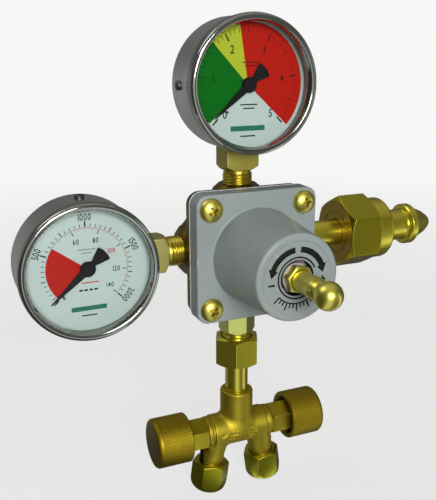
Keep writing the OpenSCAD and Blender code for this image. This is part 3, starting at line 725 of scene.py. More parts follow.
def glass(name):
    """Thin clear lens: see-through, with its surface reflection."""
    k = Nodes(name)
    smear = k.noise(k.co, 60, 4, 0.6)
    clear = k.new("ShaderNodeBsdfTransparent")
    clear.inputs[0].default_value = (0.97, 0.985, 0.98, 1)
    shine = k.new("ShaderNodeBsdfGlossy")
    shine.inputs["Color"].default_value = (1, 1, 1, 1)
    k.link(k.ranged(smear, 0.02, 0.07, 0.35, 0.7), shine.inputs["Roughness"])
    facing = k.new("ShaderNodeLayerWeight")
    facing.inputs["Blend"].default_value = 0.5
    rise = k.maths("POWER", facing.outputs["Facing"], 4.0)
    m = k.new("ShaderNodeMixShader")
    k.link(k.ranged(rise, 0.010, 0.45), m.inputs[0])
    k.link(clear.outputs[0], m.inputs[1])
    k.link(shine.outputs[0], m.inputs[2])
    return k.done(m.outputs[0])


# ---------------------------------------------------------------- bonnet
SCREW = 21.2
PLATE_Y, REAR_Y, FACE_Y = -21.1, -13.22, -54.9


def square_radius(th, half, rc):
    """Distance from the centre to a square outline with round corners."""
    x, y = abs(math.cos(th)), abs(math.sin(th))
    if x < y:
        x, y = y, x
    if half * y / x <= half - rc:
        return half / x
    c = half - rc
    b = x * c + y * c
    return b + math.sqrt(max(b * b - 2 * c * c + rc * rc, 0))


def bonnet(mats):
    half, rc = 27.4, 5.0
    ang = set(round(x, 4) for x in np.radians(np.arange(0, 360, 2.5)))
    for k in range(4):
        ang |= set(round(x, 4) for x in np.radians(np.arange(45 + 90 * k - 11, 45 + 90 * k + 11.01, 1.0)))
    ang = np.array(sorted(a % (2 * math.pi) for a in ang))
    front = [(7.0, -50.2), (7.0, FACE_Y + 0.35, 0.45), (14.35, FACE_Y + 0.35, 0.3), (14.8, FACE_Y, 0.3), (17.42, FACE_Y, 1.9),
             (20.45, PLATE_Y, 1.3), (21.9, PLATE_Y)]
    a = fillet(front, 7)
    rear = [(19.0, REAR_Y), (19.0, -16.0), (14.6, -24.0), (13.2, -50.2), (7.0, -50.2)]
    cols = []
    for t in ang:
        pts = [tuple(q) for q in a]
        r_in = 21.9
        for k in (1, 2):
            pts.append((r_in + (square_radius(t, half - 0.9, rc - 0.8) - r_in) * k / 2, PLATE_Y))
        e = 0.75
        for k in range(1, 6):
            w = math.pi / 2 * k / 5
            d = e * (1 - math.sin(w))
            pts.append((square_radius(t, half - d, rc - d), PLATE_Y + e * (1 - math.cos(w))))
        for k in range(0, 4):
            w = math.pi / 2 * k / 3
            d = 0.25 * (1 - math.cos(w))
            pts.append((square_radius(t, half - d, rc - d), REAR_Y - 0.25 * (1 - math.sin(w))))
        pts += rear
        cols.append(pts)
    pr = np.array(cols)
    p = np.zeros(pr.shape[:2] + (3,))
    p[..., 0], p[..., 1], p[..., 2] = np.cos(ang)[:, None] * pr[..., 0], pr[..., 1], np.sin(ang)[:, None] * pr[..., 0]
    o = build("bonnet_casting", Shape().grid(p, True, False), mats)
    # the bush hole's wall and inner edge take the black finish: painted shade in the gap around the bush
    for f in o.data.polygons:
        if math.hypot(f.center.x + 0.091, f.center.z) < 0.0071 and f.center.y < -0.050:
            f.material_index = 1
    return o


def bonnet_marks(mats):
    """Plain printed arc, turning arrows and a small scale on the bonnet's face."""
    s = Shape()
    y0, y1 = FACE_Y + 0.35 - 0.03, FACE_Y + 0.35 + 0.05

    def band(r0, r1, a0, a1, step=3):
        extrude(s, *sector2d(r0, r1, a0, a1, step), y0, y1)

    band(7.8, 8.45, 24, 336)
    for a0, a1, way in ((158, 96, 1), (22, 84, -1)):
        band(10.0, 12.3, min(a0, a1), max(a0, a1))
        tip = a0 + 17 * way
        c = math.radians(a0)
        t = math.radians(tip)
        v = [(9.1 * math.cos(c), 9.1 * math.sin(c)), (13.3 * math.cos(c), 13.3 * math.sin(c)), (11.15 * math.cos(t), 11.15 * math.sin(t))]
        extrude(s, v, [(0, 1, 2) if way < 0 else (0, 2, 1)], y0, y1)
    # plus sign where the right arrow ends, minus sign where the left one ends
    half, arm = 0.38, 1.35
    for sx in (-1, 1):
        cx, cz = 11.1 * sx * math.cos(math.radians(9)), -11.1 * math.sin(math.radians(9))
        extrude(s, [(cx - arm, cz - half), (cx + arm, cz - half), (cx + arm, cz + half), (cx - arm, cz + half)], [(0, 1, 2, 3)], y0, y1)
        if sx > 0:
            for z0, z1 in ((cz - arm, cz - half), (cz + half, cz + arm)):
                extrude(s, [(cx - half, z0), (cx + half, z0), (cx + half, z1), (cx - half, z1)], [(0, 1, 2, 3)], y0, y1)
    for i, a in enumerate(range(222, 319, 8)):
        extrude(s, *tick2d(10.4, 13.2 if i % 3 == 0 else 12.0, a, 0.6), y0, y1)
    band(9.9, 10.4, 221, 319)
    return build("bonnet_marks", s, mats, weighted=False)


def cross_cutter(cx, cz, turn):
    """Tapered cross for a screw recess."""
    s = Shape()
    for a in (turn, turn + 90):
        c, n = math.cos(math.radians(a)), math.sin(math.radians(a))
        top = [(-2.55, -0.62), (2.55, -0.62), (2.55, 0.62), (-2.55, 0.62)]
        low = [(-1.1, -0.30), (1.1, -0.30), (1.1, 0.30), (-1.1, 0.30)]
        v = [(cx + x * c - z * n, -24.9, cz + x * n + z * c) for x, z in top]
        v += [(cx + x * c - z * n, -22.0, cz + x * n + z * c) for x, z in low]
        f = [(0, 1, 2, 3), (7, 6, 5, 4)] + [((i + 1) % 4, i, i + 4, (i + 1) % 4 + 4) for i in range(4)]
        s.add(v, f)
    return s


def bonnet_screws(mats):
    out = []
    turns = {(-1, 1): 28, (1, 1): 12, (-1, -1): 58, (1, -1): 40}
    for (i, k), turn in turns.items():
        at = (i * SCREW, 0, k * SCREW)
        prof = [(0, -24.35), (1.3, -24.27), (2.6, -23.93), (3.7, -23.30), (4.45, -22.45), (4.85, -21.65), (5.0, -21.13, 0.12),
                (2.5, -21.12), (2.5, -5.6, 0.2), (2.0, -5.1), (0, -5.1)]
        dome = [(5.0 * math.sin(w), -21.55 - 2.8 * math.cos(w)) for w in np.linspace(0, math.pi / 2, 12)]
        prof = dome + [(5.0, -21.13, 0.12), (2.5, -21.12), (2.5, -5.6, 0.2), (2.0, -5.1), (0, -5.1)]
        o = build("screw", Shape().grid(turned(prof, MY, at, 64)), mats)
        for a in (0, 90):
            c = Shape()
            full = cross_cutter(at[0], at[2], turn + a)
            c.add(full.v[0], full.f[:6])
            o = cut(o, build("cutter", c, [], weighted=False))
        out.append(o)
    bpy.ops.object.select_all(action="DESELECT")
    for o in out:
        o.select_set(True)
    bpy.context.view_layer.objects.active = out[0]
    bpy.ops.object.join()
    o = out[0]
    o.name = o.data.name = "bonnet_screw_set"
    o.data.polygons.foreach_set("use_smooth", [True] * len(o.data.polygons))
    o.data.set_sharp_from_angle(angle=math.radians(32))
    return o


# ---------------------------------------------------------------- body
def body_shape(p):
    d = d_slab(p, 26.9, 5.5, -12.4, -7.3, 0.6)
    bowl = d_rev(p, [(0, -9), (24.4, -9), (24.4, -7.6), (22.5, -2), (20.7, 3), (20.4, 7), (18, 10.5), (0, 10.5)], (0, 1, 0), 1.2)
    d = smin(d, bowl, 1.2)
    d = smin(d, d_cyl(p, (0, 1, 0), 12.5, 6, 13.4, rnd=0.7), 1.2)
    ports = None
    for ax in ((1, 0, 0), (-1, 0, 0), (0, 0, 1), (0, 0, -1)):
        b = d_rev(p, [(0, 6), (15.3, 6), (15.3, 19.6), (11.0, 24.2), (10.8, 25.0), (8.4, 27.1), (0, 27.1)], ax, 0.4)
        ports = b if ports is None else smin(ports, b, 1.5)
    d = smin(d, ports, 2.2)
    d = np.maximum(d, -12.4 - p[:, 1])
    hollow = d_cyl(p, (0, 1, 0), 19, -20, -10)
    hollow = np.minimum(hollow, d_cyl(p, (0, 1, 0), 5.0, -12, 0))
    hollow = np.minimum(hollow, d_cyl(p, (0, 1, 0), 6.5, -2, 8))
    hollow = np.minimum(hollow, np.minimum(d_cyl(p, (0, 1, 0), 8.0, 7, 20), d_cyl(p, (0, 1, 0), 11.3, 13.4, 20)))
    for ax in ((1, 0, 0), (-1, 0, 0), (0, 0, 1), (0, 0, -1)):
        hollow = np.minimum(hollow, d_cyl(p, ax, 6.6, 16, 40))
    for i in (-1, 1):
        for k in (-1, 1):
            hollow = np.minimum(hollow, d_cyl(p, (0, 1, 0), 2.7, -20, 0, at=(i * SCREW, 0, k * SCREW)))
    return smax(d, -hollow, 0.35)


def manifold_shape(p):
    zz = -91.0
    c = (0, 0, zz)
    riser = d_cyl(p, (0, 0, 1), 7.7, -2, 20.0, at=c, rnd=1.0)
    barrel = d_cyl(p, (1, 0, 0), 7.75, -13.4, 13.4, at=c, rnd=0.45)
    d = smin(riser, barrel, 2.4)
    for k in (-1, 1):
        ax = np.array([k * math.sin(math.radians(8)), 0, -math.cos(math.radians(8))])
        root = np.array([k * 11.0, 0, zz])
        stub = d_rev(p, [(0, -1), (6.5, -1), (6.5, 6.5), (5.9, 10.6), (5.65, 14.4), (0, 14.4)], ax, 0.35, at=root)
        d = smin(d, stub, 1.8)
    d = np.minimum(d, d_cyl(p, (1, 0, 0), 6.85, -14.6, 14.6, at=c))
    for k in (-1, 1):
        d = np.minimum(d, d_cyl(p, (1, 0, 0), 7.3, 15.35 * k - 1.05, 15.35 * k + 1.05, at=c, rnd=0.35))
        ax = np.array([k * math.sin(math.radians(8)), 0, -math.cos(math.radians(8))])
        d = np.minimum(d, d_cyl(p, ax, 5.5, 14.2, 22.0, at=(k * 11.0, 0, zz), rnd=0.3))
    # raised two-way flow arrow and pips on the front
    x, z = p[:, 0], p[:, 2] - zz + 0.6
    rad = np.hypot(p[:, 1], p[:, 2] - zz)
    line = np.maximum(np.abs(x) - 9.0, np.abs(z) - 0.42)
    for k in (-1, 1):
        u = 10.6 - k * x
        head = np.maximum(np.maximum(-u, u - 3.4), np.abs(z) * 1.0 - np.clip(u, 0, 3.4) * 0.52)
        line = np.minimum(line, head)
        for px in (2.6, 4.6, 6.2):
            for pz in (-1.75, 1.75):
                line = np.minimum(line, np.hypot(x - k * px, z - pz) - 0.48)
    line = np.minimum(line, np.hypot(x, z) - 1.5)
    relief = np.maximum(np.maximum(line, rad - 8.25), 6.5 - rad)
    relief = np.where(p[:, 1] < 0, relief, 9.0)
    d = smin(d, relief, 0.35)
    d = smax(d, np.minimum(np.abs(p[:, 0]) - 16.4, p[:, 2] - zz + 8.3), 0.15)
    hollow = d_cyl(p, (0, 0, 1), 5.35, -79.6, -60)
    hollow = np.minimum(hollow, d_cyl(p, (0, 0, 1), 2.6, zz, -70))
    hollow = np.minimum(hollow, d_cyl(p, (1, 0, 0), 2.6, -9, 9, at=c))
    for k in (-1, 1):
        hollow = np.minimum(hollow, d_cyl(p, (k, 0, 0), 4.8, 8, 20, at=c))
        ax = np.array([k * math.sin(math.radians(8)), 0, -math.cos(math.radians(8))])
        hollow = np.minimum(hollow, d_cyl(p, ax, 2.2, 0, 16, at=(k * 11.0, 0, zz)))
        hollow = np.minimum(hollow, d_cyl(p, ax, 4.1, 14, 24, at=(k * 11.0, 0, zz)))
    return smax(d, -hollow, 0.2)


def cast_piece(name, fn, lo, hi, h, mats):
    v, f = nets(fn, lo, hi, h)
    s = Shape()
    s.add(v, f)
    return build(name, s, mats, weighted=False, weld=0.001)


# ---------------------------------------------------------------- springs and diaphragm
def coil_spring(name, rm, rw, a, b, turns, mats, per=40, sides=16):
    """Round wire wound about the front-to-back axis, its end turns closed up."""
    n = int(round(turns * per))
    u = np.linspace(0, 1, n + 1)
    near = np.clip(np.minimum(u, 1 - u) * turns - 0.5, 0, 1)
    slope = 0.45 + 0.55 * near * near * (3 - 2 * near)
    y = np.concatenate([[0], np.cumsum((slope[1:] + slope[:-1]) / 2)])
    y = a + rw + (b - a - 2 * rw) * y / y[-1]
    t = 2 * math.pi * turns * u
    c = np.stack([rm * np.cos(t), y, rm * np.sin(t)], 1)
    e1 = np.stack([np.cos(t), 0 * t, np.sin(t)], 1)
    e2 = np.cross(np.gradient(c, axis=0), e1)
    e2 /= np.linalg.norm(e2, axis=1)[:, None]
    ph = np.linspace(0, 2 * math.pi, sides, endpoint=False)
    p = c[:, None] + rw * (np.cos(ph)[None, :, None] * e1[:, None] + np.sin(ph)[None, :, None] * e2[:, None])
    s = Shape().grid(p, False, True)
    s.add(p[0], [tuple(range(sides))])
    s.add(p[-1], [tuple(range(sides))])
    return build(name, s, mats, weighted=False)


def diaphragm_parts(mats):
    """The clamped rim, and the middle that the plate carries."""
    ang = set(round(x, 4) for x in np.radians(np.arange(0, 360, 3)))
    for k in range(4):
        ang |= set(round(x, 4) for x in np.radians(np.arange(45 + 90 * k - 12, 45 + 90 * k + 12.01, 1.5)))
    ang = np.array(sorted(a % (2 * math.pi) for a in ang))
    m = np.array([[1, 0, 0], [0, 0, 1], [0, 1, 0]], float)
    rim = Shape().grid(columns(lambda t: [(13.1, -13.18), (square_radius(t, 27.5, 5.1), -13.18, 0.15), (square_radius(t, 27.5, 5.1), -12.42, 0.15),
                                          (13.1, -12.42)], ang, m, (0, 0, 0), 3, True), True, True)
    rim = build("diaphragm_rim", rim, mats, weighted=False)
    holes = Shape()
    for i in (-1, 1):
        for k in (-1, 1):
            holes.grid(turned([(0, -14.5), (2.8, -14.5), (2.8, -11.0), (0, -11.0)], MY, (i * SCREW, 0, k * SCREW), 40), True, False)
    rim = cut(rim, build("cutter", holes, [], weighted=False))
    rim.data.polygons.foreach_set("use_smooth", [True] * len(rim.data.polygons))
    rim.data.set_sharp_from_angle(angle=math.radians(40))
    mid = [(0, -13.16), (12.9, -13.16, 0.1), (13.0, -13.06), (13.0, -12.52), (12.9, -12.42, 0.1), (0, -12.42)]
    return rim, build("diaphragm_middle", Shape().grid(turned(mid, MY, (0, 0, 0), 96)), mats, weighted=False, sharp=40)


# ---------------------------------------------------------------- nuts and fittings
def hex_piece(name, af, rho, prof, mats, m=MZ, at=(0, 0, 0), turn=0.0, hex_mat=None, closed=True, n=4):
    """prof(r) gives the section where the hexagon's radius is r; turn in degrees. hex_mat: when set, the hexagon's flat
    faces take the second material.
    """
    base = hex_angles(af, rho)
    rad = [hex_radius(t, af, rho) for t in base]
    rows = np.array([fillet(prof(r), n, closed) for r in rad])
    th = base + math.radians(turn)
    p = np.zeros(rows.shape[:2] + (3,))
    p[..., 0], p[..., 1], p[..., 2] = np.cos(th)[:, None] * rows[..., 0], np.sin(th)[:, None] * rows[..., 0], rows[..., 1]
    s = Shape().grid(p @ np.asarray(m).T + np.array(at, float), True, closed)
    if hex_mat and len(mats) > 1:
        nu, nv = rows.shape[:2]
        per = nv if closed else nv - 1
        onhex = np.abs(rows[..., 0] - np.array(rad)[:, None]) < 1e-6
        for i in range(nu):
            for j in range(per):
                if onhex[i, j] and onhex[i, (j + 1) % nv]:
                    s.m[i * per + j] = 1
    return build(name, s, mats)


def inlet_nut(mats):
    b = 51.1

    def prof(r):
        back = [(14.8, b), (18.0, b + 1.9)]
        front = [(15.4, b + 15.9), (18.0, b + 14.2)]
        z0 = float(np.interp(r, [14.8, 18.0], [b, b + 1.9]))
        z1 = float(np.interp(r, [15.4, 18.0], [b + 15.9, b + 14.2]))
        rin = min(15.4, r - 0.05)
        return [(6.1, 57.3), (6.1, b, 0.35), (9.3, b, 0.08), (9.3, b + 0.35), (10.0, b + 0.35), (10.0, b, 0.08), (14.75, b, 0.2),
                (r, z0, 0.3), (r, z1, 0.3), (rin, b + 15.9, 0.25), (14.4, b + 15.9, 0.3), (14.4, 75.3, 1.9),
                (11.1, 75.3, 0.2), (10.3, 74.5, 0.2), (10.3, 60.6), (9.8, 60.0), (9.8, 57.3)]
    o = hex_piece("inlet_nut_turned", 30.0, 0.7, prof, mats, MX, hex_mat=True)
    # the back face takes the third finish, which paints shade and a brass reflection on it
    for f in o.data.polygons:
        if f.center.x < (b + 0.4 - 91) * 0.001 and math.hypot(f.center.y, f.center.z) < 0.0149:
            f.material_index = 2
    return o


def union_nut(mats):
    def prof(r):
        z0 = float(np.interp(r, [8.6, 11.2], [-43.5, -45.0]))
        z1 = float(np.interp(r, [9.4, 11.2], [-57.0, -56.0]))
        return [(7.6, -43.5, 0.1), (8.6, -43.5, 0.3), (r, z0, 0.25), (r, z1, 0.2), (min(9.3, r - 0.05), -57.0, 0.2), (5.4, -57.0, 0.25),
                (5.4, -54.8), (6.6, -54.8), (6.6, -44.4)]
    return hex_piece("union_nut_turned", 18.8, 0.35, prof, mats, MZ, turn=5.2, hex_mat=True)


def threaded(name, section, major, minor, pitch, a, b, mats, m, at, before, after, seg=96, step=6, hand=1):
    """Turned piece with one helical thread between heights a and b; before and after are the rest of its section."""
    n = max(4, int(abs(b - a) / pitch * step))
    zz = np.linspace(a, b, n + 1)
    head, tail = fillet(before, 4), fillet(after, 4)
    th = np.linspace(0, 2 * math.pi, seg, endpoint=False)
    span = abs(b - a)

    def crest(t):
        ph = (zz / pitch - hand * t / (2 * math.pi)) % 1.0
        tri = 1 - np.abs(2 * ph - 1)
        shape = np.clip(tri * 1.5 - 0.25, 0, 1)
        fade = np.clip(np.minimum(np.abs(zz - a), np.abs(b - zz)) / min(0.8 * pitch, span / 3), 0, 1)
        return minor + (major - minor) * shape * fade
    rows = np.array([np.concatenate([head, np.stack([crest(t), zz], 1), tail]) for t in th])
    p = np.zeros(rows.shape[:2] + (3,))
    p[..., 0], p[..., 1], p[..., 2] = np.cos(th)[:, None] * rows[..., 0], np.sin(th)[:, None] * rows[..., 0], rows[..., 1]
    s = Shape().grid(p @ np.asarray(m).T + np.array(at, float), True, True)
    return build(name, s, mats) if name else s


def outlet_nipple(mats):
    def prof(r):
        z0 = float(np.interp(r, [7.4, 8.6], [-27.65, -28.3]))
        z1 = float(np.interp(r, [7.2, 8.6], [-41.2, -39.9]))
        return [(2.6, -16.4), (5.9, -16.4, 0.1), (6.5, -17.0, 0.1), (6.5, -27.65, 0.1), (min(7.35, r - 0.03), -27.65, 0.1), (r, z0, 0.25),
                (r, z1, 0.35), (min(7.15, r - 0.05), -41.2, 0.3), (6.35, -41.2, 0.15), (6.0, -41.9, 0.2), (6.0, -43.1, 0.1), (6.5, -43.7, 0.1),
                (6.5, -51.4), (5.9, -52.0), (4.3, -52.0), (2.6, -50.4)]
    return hex_piece("outlet_nipple_turned", 14.5, 0.35, prof, mats, MZ, turn=38.0, hex_mat=True)


def gland(k, mats):
    def prof(r):
        z0 = float(np.interp(r, [7.0, 8.3], [16.5, 17.2]))
        z1 = float(np.interp(r, [7.0, 8.3], [29.5, 28.7]))
        ri = min(6.95, r - 0.03)
        return [(2.05, 14.5), (4.5, 14.5, 0.1), (4.75, 14.8, 0.1), (4.75, 16.5, 0.1), (ri, 16.5, 0.2), (r, z0, 0.2), (r, z1, 0.2),
                (ri, 29.5, 0.2), (2.35, 29.5, 0.1), (2.05, 29.1, 0.1)]
    m = MX if k > 0 else HALF @ MX
    return hex_piece("gland_nut_" + ("right" if k > 0 else "left"), 14.0, 0.35, prof, mats, m, (0, 0, -91.0), hex_mat=True)


def outlet_frame(k):
    return rot_y(-k * 8.0), (k * 11.0, 0, -91.0)


def outlet_nut(k, turn, mats):
    low = arc_pts(6.7, -29.2, 8.85, -26.2, 0.25) + [(9.1, -17.0)]

    def prof(r):
        z0 = float(np.interp(r, [7.1, 9.1], [-15.4, -16.7]))
        cham = chamfer(r, low, 5)
        return [(5.7, -15.4, 0.1), (7.1, -15.4, 0.35), (r, z0, 0.25), (cham[0][0], cham[0][1], 0.25)] + cham[1:] + [
            (4.45, -29.2, 0.2), (4.05, -28.8, 0.2), (4.05, -25.0), (4.1, -25.0), (5.7, -23.35)]
    m, at = outlet_frame(k)
    return hex_piece("outlet_nut_turned_" + ("right" if k > 0 else "left"), 15.6, 0.45, prof, mats, m, at, turn=turn, hex_mat=True)


def lock_nut(mats):
    def prof(r):
        z0 = float(np.interp(r, [4.9, 5.9], [-57.6, -57.0]))
        z1 = float(np.interp(r, [5.3, 5.9], [-54.0, -54.4]))
        return [(4.08, -57.35, 0.1), (4.3, -57.6, 0.1), (4.9, -57.6, 0.2), (r, z0, 0.2), (r, z1, 0.15), (min(5.25, r - 0.02), -54.0, 0.1),
                (4.08, -54.0)]
    o = hex_piece("lock_nut_turned", 10.0, 0.25, prof, mats, MY, turn=0, hex_mat=True)
    return o


def rotated_about_y(o, deg):
    """Turns a finished mesh about the body's front-to-back axis."""
    c = Vector((SHIFT * 0.001).tolist())
    m = Matrix.Translation(c) @ Matrix.Rotation(math.radians(deg), 4, "Y") @ Matrix.Translation(-c)
    o.data.transform(m)
    return o


def adjusting_screw(mats):
    ball = [(5.39 * math.sin(w), -76.6 - 5.39 * math.cos(w)) for w in np.linspace(0, math.radians(138), 30)]
    neck = [(3.62, -72.2, 0.3), (4.05, -70.6, 1.6), (4.39, -68.6, 1.2), (4.39, -66.4, 1.2), (4.0, -63.4, 1.2), (4.0, -60.4), (4.0, -57.7)]
    before = ball[:-1] + neck
    after = [(3.9, -47.2), (2.9, -44.8, 0.2), (2.2, -43.0, 0.2), (1.6, -42.7), (0, -42.7)]
    n = 40
    zz = np.linspace(-57.4, -47.4, n + 1)
    head, tail = fillet(before, 4), fillet(after, 4)
    seg = 72
    th = np.linspace(0, 2 * math.pi, seg, endpoint=False)
    rows = []
    for t in th:
        ph = (zz / 1.0 - t / (2 * math.pi)) % 1.0
        tri = 1 - np.abs(2 * ph - 1)
        fade = np.clip(np.minimum(zz + 57.4, -47.4 - zz) / 1.0, 0, 1)
        rr = 4.0 - 0.30 * (1 - np.clip(tri * 1.5 - 0.25, 0, 1)) * fade
        rows.append(np.concatenate([head, np.stack([rr, zz], 1), tail]))
    rows = np.array(rows)
    p = np.zeros(rows.shape[:2] + (3,))
    p[..., 0], p[..., 1], p[..., 2] = np.cos(th)[:, None] * rows[..., 0], np.sin(th)[:, None] * rows[..., 0], rows[..., 1]
    return build("adjusting_spindle", Shape().grid(p @ MY.T, True, False), mats)


def inlet_nipple(mats):
    prof = [(3, 16.2), (5.9, 16.2, 0.1), (6.5, 16.9, 0.1), (6.5, 27.6, 0.1), (6.0, 27.7), (6.0, 72.0), (7.5, 72.0, 0.3), (7.5, 88.7, 0.4),
            (9.0, 88.9, 0.3), (9.8, 89.6, 0.3), (9.8, 92.6, 0.4), (8.5, 93.8, 0.4), (7.3, 96.2, 1.5), (6.2, 98.9, 1.0), (5.6, 100.2, 0.8),
            (3.9, 102.8, 1.5), (2.7, 104.3, 0.9), (1.9, 104.38, 0.2), (1.5, 104.0, 0.1), (1.5, 25.0), (3.0, 25.0)]
    return build("inlet_nipple_turned", Shape().grid(turned(prof, MX, seg=112, closed=True), True, True), mats)


def tailpiece(mats):
    prof = [(2.6, -51.0), (3.1, -51.0), (4.1, -52.05), (4.4, -52.15), (6.3, -52.15, 0.2), (6.3, -54.2, 0.1), (5.9, -54.7, 0.1), (5.3, -54.7), (5.3, -79.5), (2.6, -79.5)]
    return build("tailpiece_turned", Shape().grid(turned(prof, MZ, seg=80, closed=True), True, True), mats)


def bush(mats):
    prof = [(4.05, -53.6, 0.1), (4.3, -53.9, 0.1), (5.9, -53.9, 0.3), (5.9, -50.15, 0.1), (10.5, -50.15, 0.1), (10.5, -47.4, 0.1), (4.05, -47.4, 0.1)]
    return build("adjuster_bush_turned", Shape().grid(turned(prof, MY, seg=80, closed=True), True, True), mats)


def valve_plug(mats):
    def prof(r):
        z1 = float(np.interp(r, [9.2, 12.0], [17.6, 15.9]))
        return [(2.06, 7.2), (7.4, 7.2, 0.2), (7.95, 7.8, 0.2), (7.95, 13.45, 0.1), (r, 13.45, 0.15), (r, z1, 0.3), (9.2, 17.6, 0.4), (2.0, 17.6, 0.2),
                (1.0, 17.2, 0.2), (0, 17.2)]
    a = hex_piece("valve_plug_turned", 19.0, 0.5, lambda r: prof(r) + [(0, 11.4), (2.06, 11.4)], mats, MY, hex_mat=True)
    return a


def knob(k, mats):
    seg, teeth = 560, 80
    th = np.linspace(0, 2 * math.pi, seg, endpoint=False)
    rows = []
    for t in th:
        g = 0.5 - 0.5 * math.cos(teeth * t)
        w = 0.075 * (g ** 0.8)
        pts = [(2.03, 34.5), (9.3, 34.5, 0.5), (9.3, 25.6, 0.15), (11.0, 25.6, 0.35), (11.4, 26.1, 0.2), (11.4, 26.5), (11.4 - w, 26.9),
               (11.4 - w, 31.0), (11.4 - w, 36.0), (11.4 - w, 39.4), (11.4, 39.9), (11.4, 40.3, 0.4), (11.35, 41.2, 0.6), (10.8, 42.0, 0.5), (9.7, 42.4, 0.6),
               (0, 42.4)]
        rows.append(np.concatenate([fillet(pts, 4), [(0, 40.3), (2.03, 40.3)]]))
    rows = np.array(rows)
    p = np.zeros(rows.shape[:2] + (3,))
    p[..., 0], p[..., 1], p[..., 2] = np.cos(th)[:, None] * rows[..., 0], np.sin(th)[:, None] * rows[..., 0], rows[..., 1]
    m = MX if k > 0 else HALF @ MX
    s = Shape().grid(p @ m.T + np.array([0, 0, -91.0]), True, True)
    nv = rows.shape[1]
    # the flat end face takes the second finish, a painted shade
    flat = [j for j in range(nv) if rows[0, j, 1] >= 42.3]
    for i in range(seg):
        for j in flat:
            s.m[i * nv + j] = 1
    # bore and recess take the third finish, a painted light that keeps the deep recess from going dark
    inside = [j for j in range(nv) if rows[0, j, 0] <= 9.35 and rows[0, j, 1] <= 34.6]
    for i in range(seg):
        for j in inside:
            s.m[i * nv + j] = 2
    return build("valve_knob_" + ("right" if k > 0 else "left"), s, mats)


def stem(k, mats):
    m = MX if k > 0 else HALF @ MX
    prof = [(0, 10.7), (1.3, 10.7, 0.2), (1.3, 11.9), (2.0, 12.2), (2.0, 40.2, 0.2), (0, 40.2)]
    return build("valve_stem_" + ("right" if k > 0 else "left"), Shape().grid(turned(prof, m, (0, 0, -91.0), 48)), mats)


# ---------------------------------------------------------------- gauges
LOW = (MZ, (0, 0, 69.4))
HIGH = (rot_y(-90.0), (-70.0, 0, 0))
HIGH_UP = (MZ, (-70.0, 0, 0))


def rect_radius(th, hx, hy, rho):
    """Distance to a rectangle with rounded corners."""
    x, y = abs(math.cos(th)), abs(math.sin(th))
    t = min(hx / max(x, 1e-9), hy / max(y, 1e-9))
    px, py = x * t, y * t
    if px <= hx - rho or py <= hy - rho:
        return t
    cx, cy = hx - rho, hy - rho
    b = x * cx + y * cy
    return b + math.sqrt(max(b * b - cx * cx - cy * cy + rho * rho, 0))


def gauge_case(tag, fr, mats):
    m, at = fr
    prof = [(0, 7.2), (25.2, 7.2, 1.2), (27.3, 5.6, 1.6), (27.3, -14.5, 0.12), (26.5, -14.5, 0.12), (26.5, 4.9, 1.4), (24.8, 6.4, 1.0), (0, 6.4)]
    o = build(tag + "_case_shell", Shape().grid(turned(prof, m @ MY, at, 144)), mats, weighted=False)
    s = Shape()
    v = np.array([(x, y, z) for z in (-28.5, -20) for x, y in ((-7.55, -6.05), (7.55, -6.05), (7.55, 6.3), (-7.55, 6.3))])
    s.add(v @ np.asarray(m).T + np.array(at), [(3, 2, 1, 0), (4, 5, 6, 7), (0, 1, 5, 4), (1, 2, 6, 5), (2, 3, 7, 6), (3, 0, 4, 7)])
    o = cut(o, build("cutter", s, [], weighted=False))
    o.data.polygons.foreach_set("use_smooth", [True] * len(o.data.polygons))
    o.data.set_sharp_from_angle(angle=math.radians(40))
    c0 = (np.array(at, float) + SHIFT) * 0.001
    for f in o.data.polygons:
        if math.hypot(f.center.x - c0[0], f.center.z - c0[2]) < 0.0266 and f.center.y < 0.0:
            f.material_index = 1
    w = o.modifiers.new("weighted", "WEIGHTED_NORMAL")
    w.keep_sharp = True
    ledge = [(23.8, -9.5, 0.1), (26.52, -9.5), (26.52, -8.7), (23.8, -8.7, 0.1)]
    return o, Shape().grid(turned(ledge, m @ MY, at, 96, closed=True), True, True)


def bezel(tag, fr, mats):
    m, at = fr
    prof = [(27.35, -12.3, 0.1), (27.7, -12.3, 0.2), (27.92, -13.6, 1.2), (28.0, -16.0, 2.5), (27.6, -18.0, 1.0), (26.5, -18.5, 1.0), (25.3, -18.2, 0.8),
            (24.4, -16.2, 0.2), (27.0, -16.2), (27.0, -14.55), (27.35, -14.55)]
    return build(tag + "_bezel_ring", Shape().grid(turned(prof, m @ MY, at, 160, closed=True), True, True), mats)


def window(tag, fr, mats):
    m, at = fr
    prof = [(0, -16.1), (26.6, -16.1), (26.9, -15.9), (26.9, -14.8), (26.6, -14.6), (0, -14.6)]
    return build(tag + "_lens", Shape().grid(turned(prof, m @ MY, at, 96)), mats)


def dial(tag, fr, draw, mats):
    """Plate, printed marks and stop pin."""
    m, at = fr
    s = Shape()
    plate = [(1.7, -10.2), (26.1, -10.2, 0.1), (26.3, -10.0, 0.1), (26.3, -9.6), (1.7, -9.6)]
    s.grid(turned(plate, MY, seg=128, closed=True), True, True, 0)
    draw(s)
    t = math.radians(227)
    pin = [(0, -12.5), (0.32, -12.5), (0.5, -12.3), (0.5, -10.1), (0, -10.1)]
    s.grid(turned(pin, MY, (14.6 * math.cos(t), 0, 14.6 * math.sin(t)), 20), True, False, 6)
    s.v = [v + np.array(at, float) for v in s.v]
    return build(tag + "_dial_plate", s, mats, weighted=False, sharp=35)


L1, L2, L3, BACK = -10.225, -10.25, -10.275, -10.15


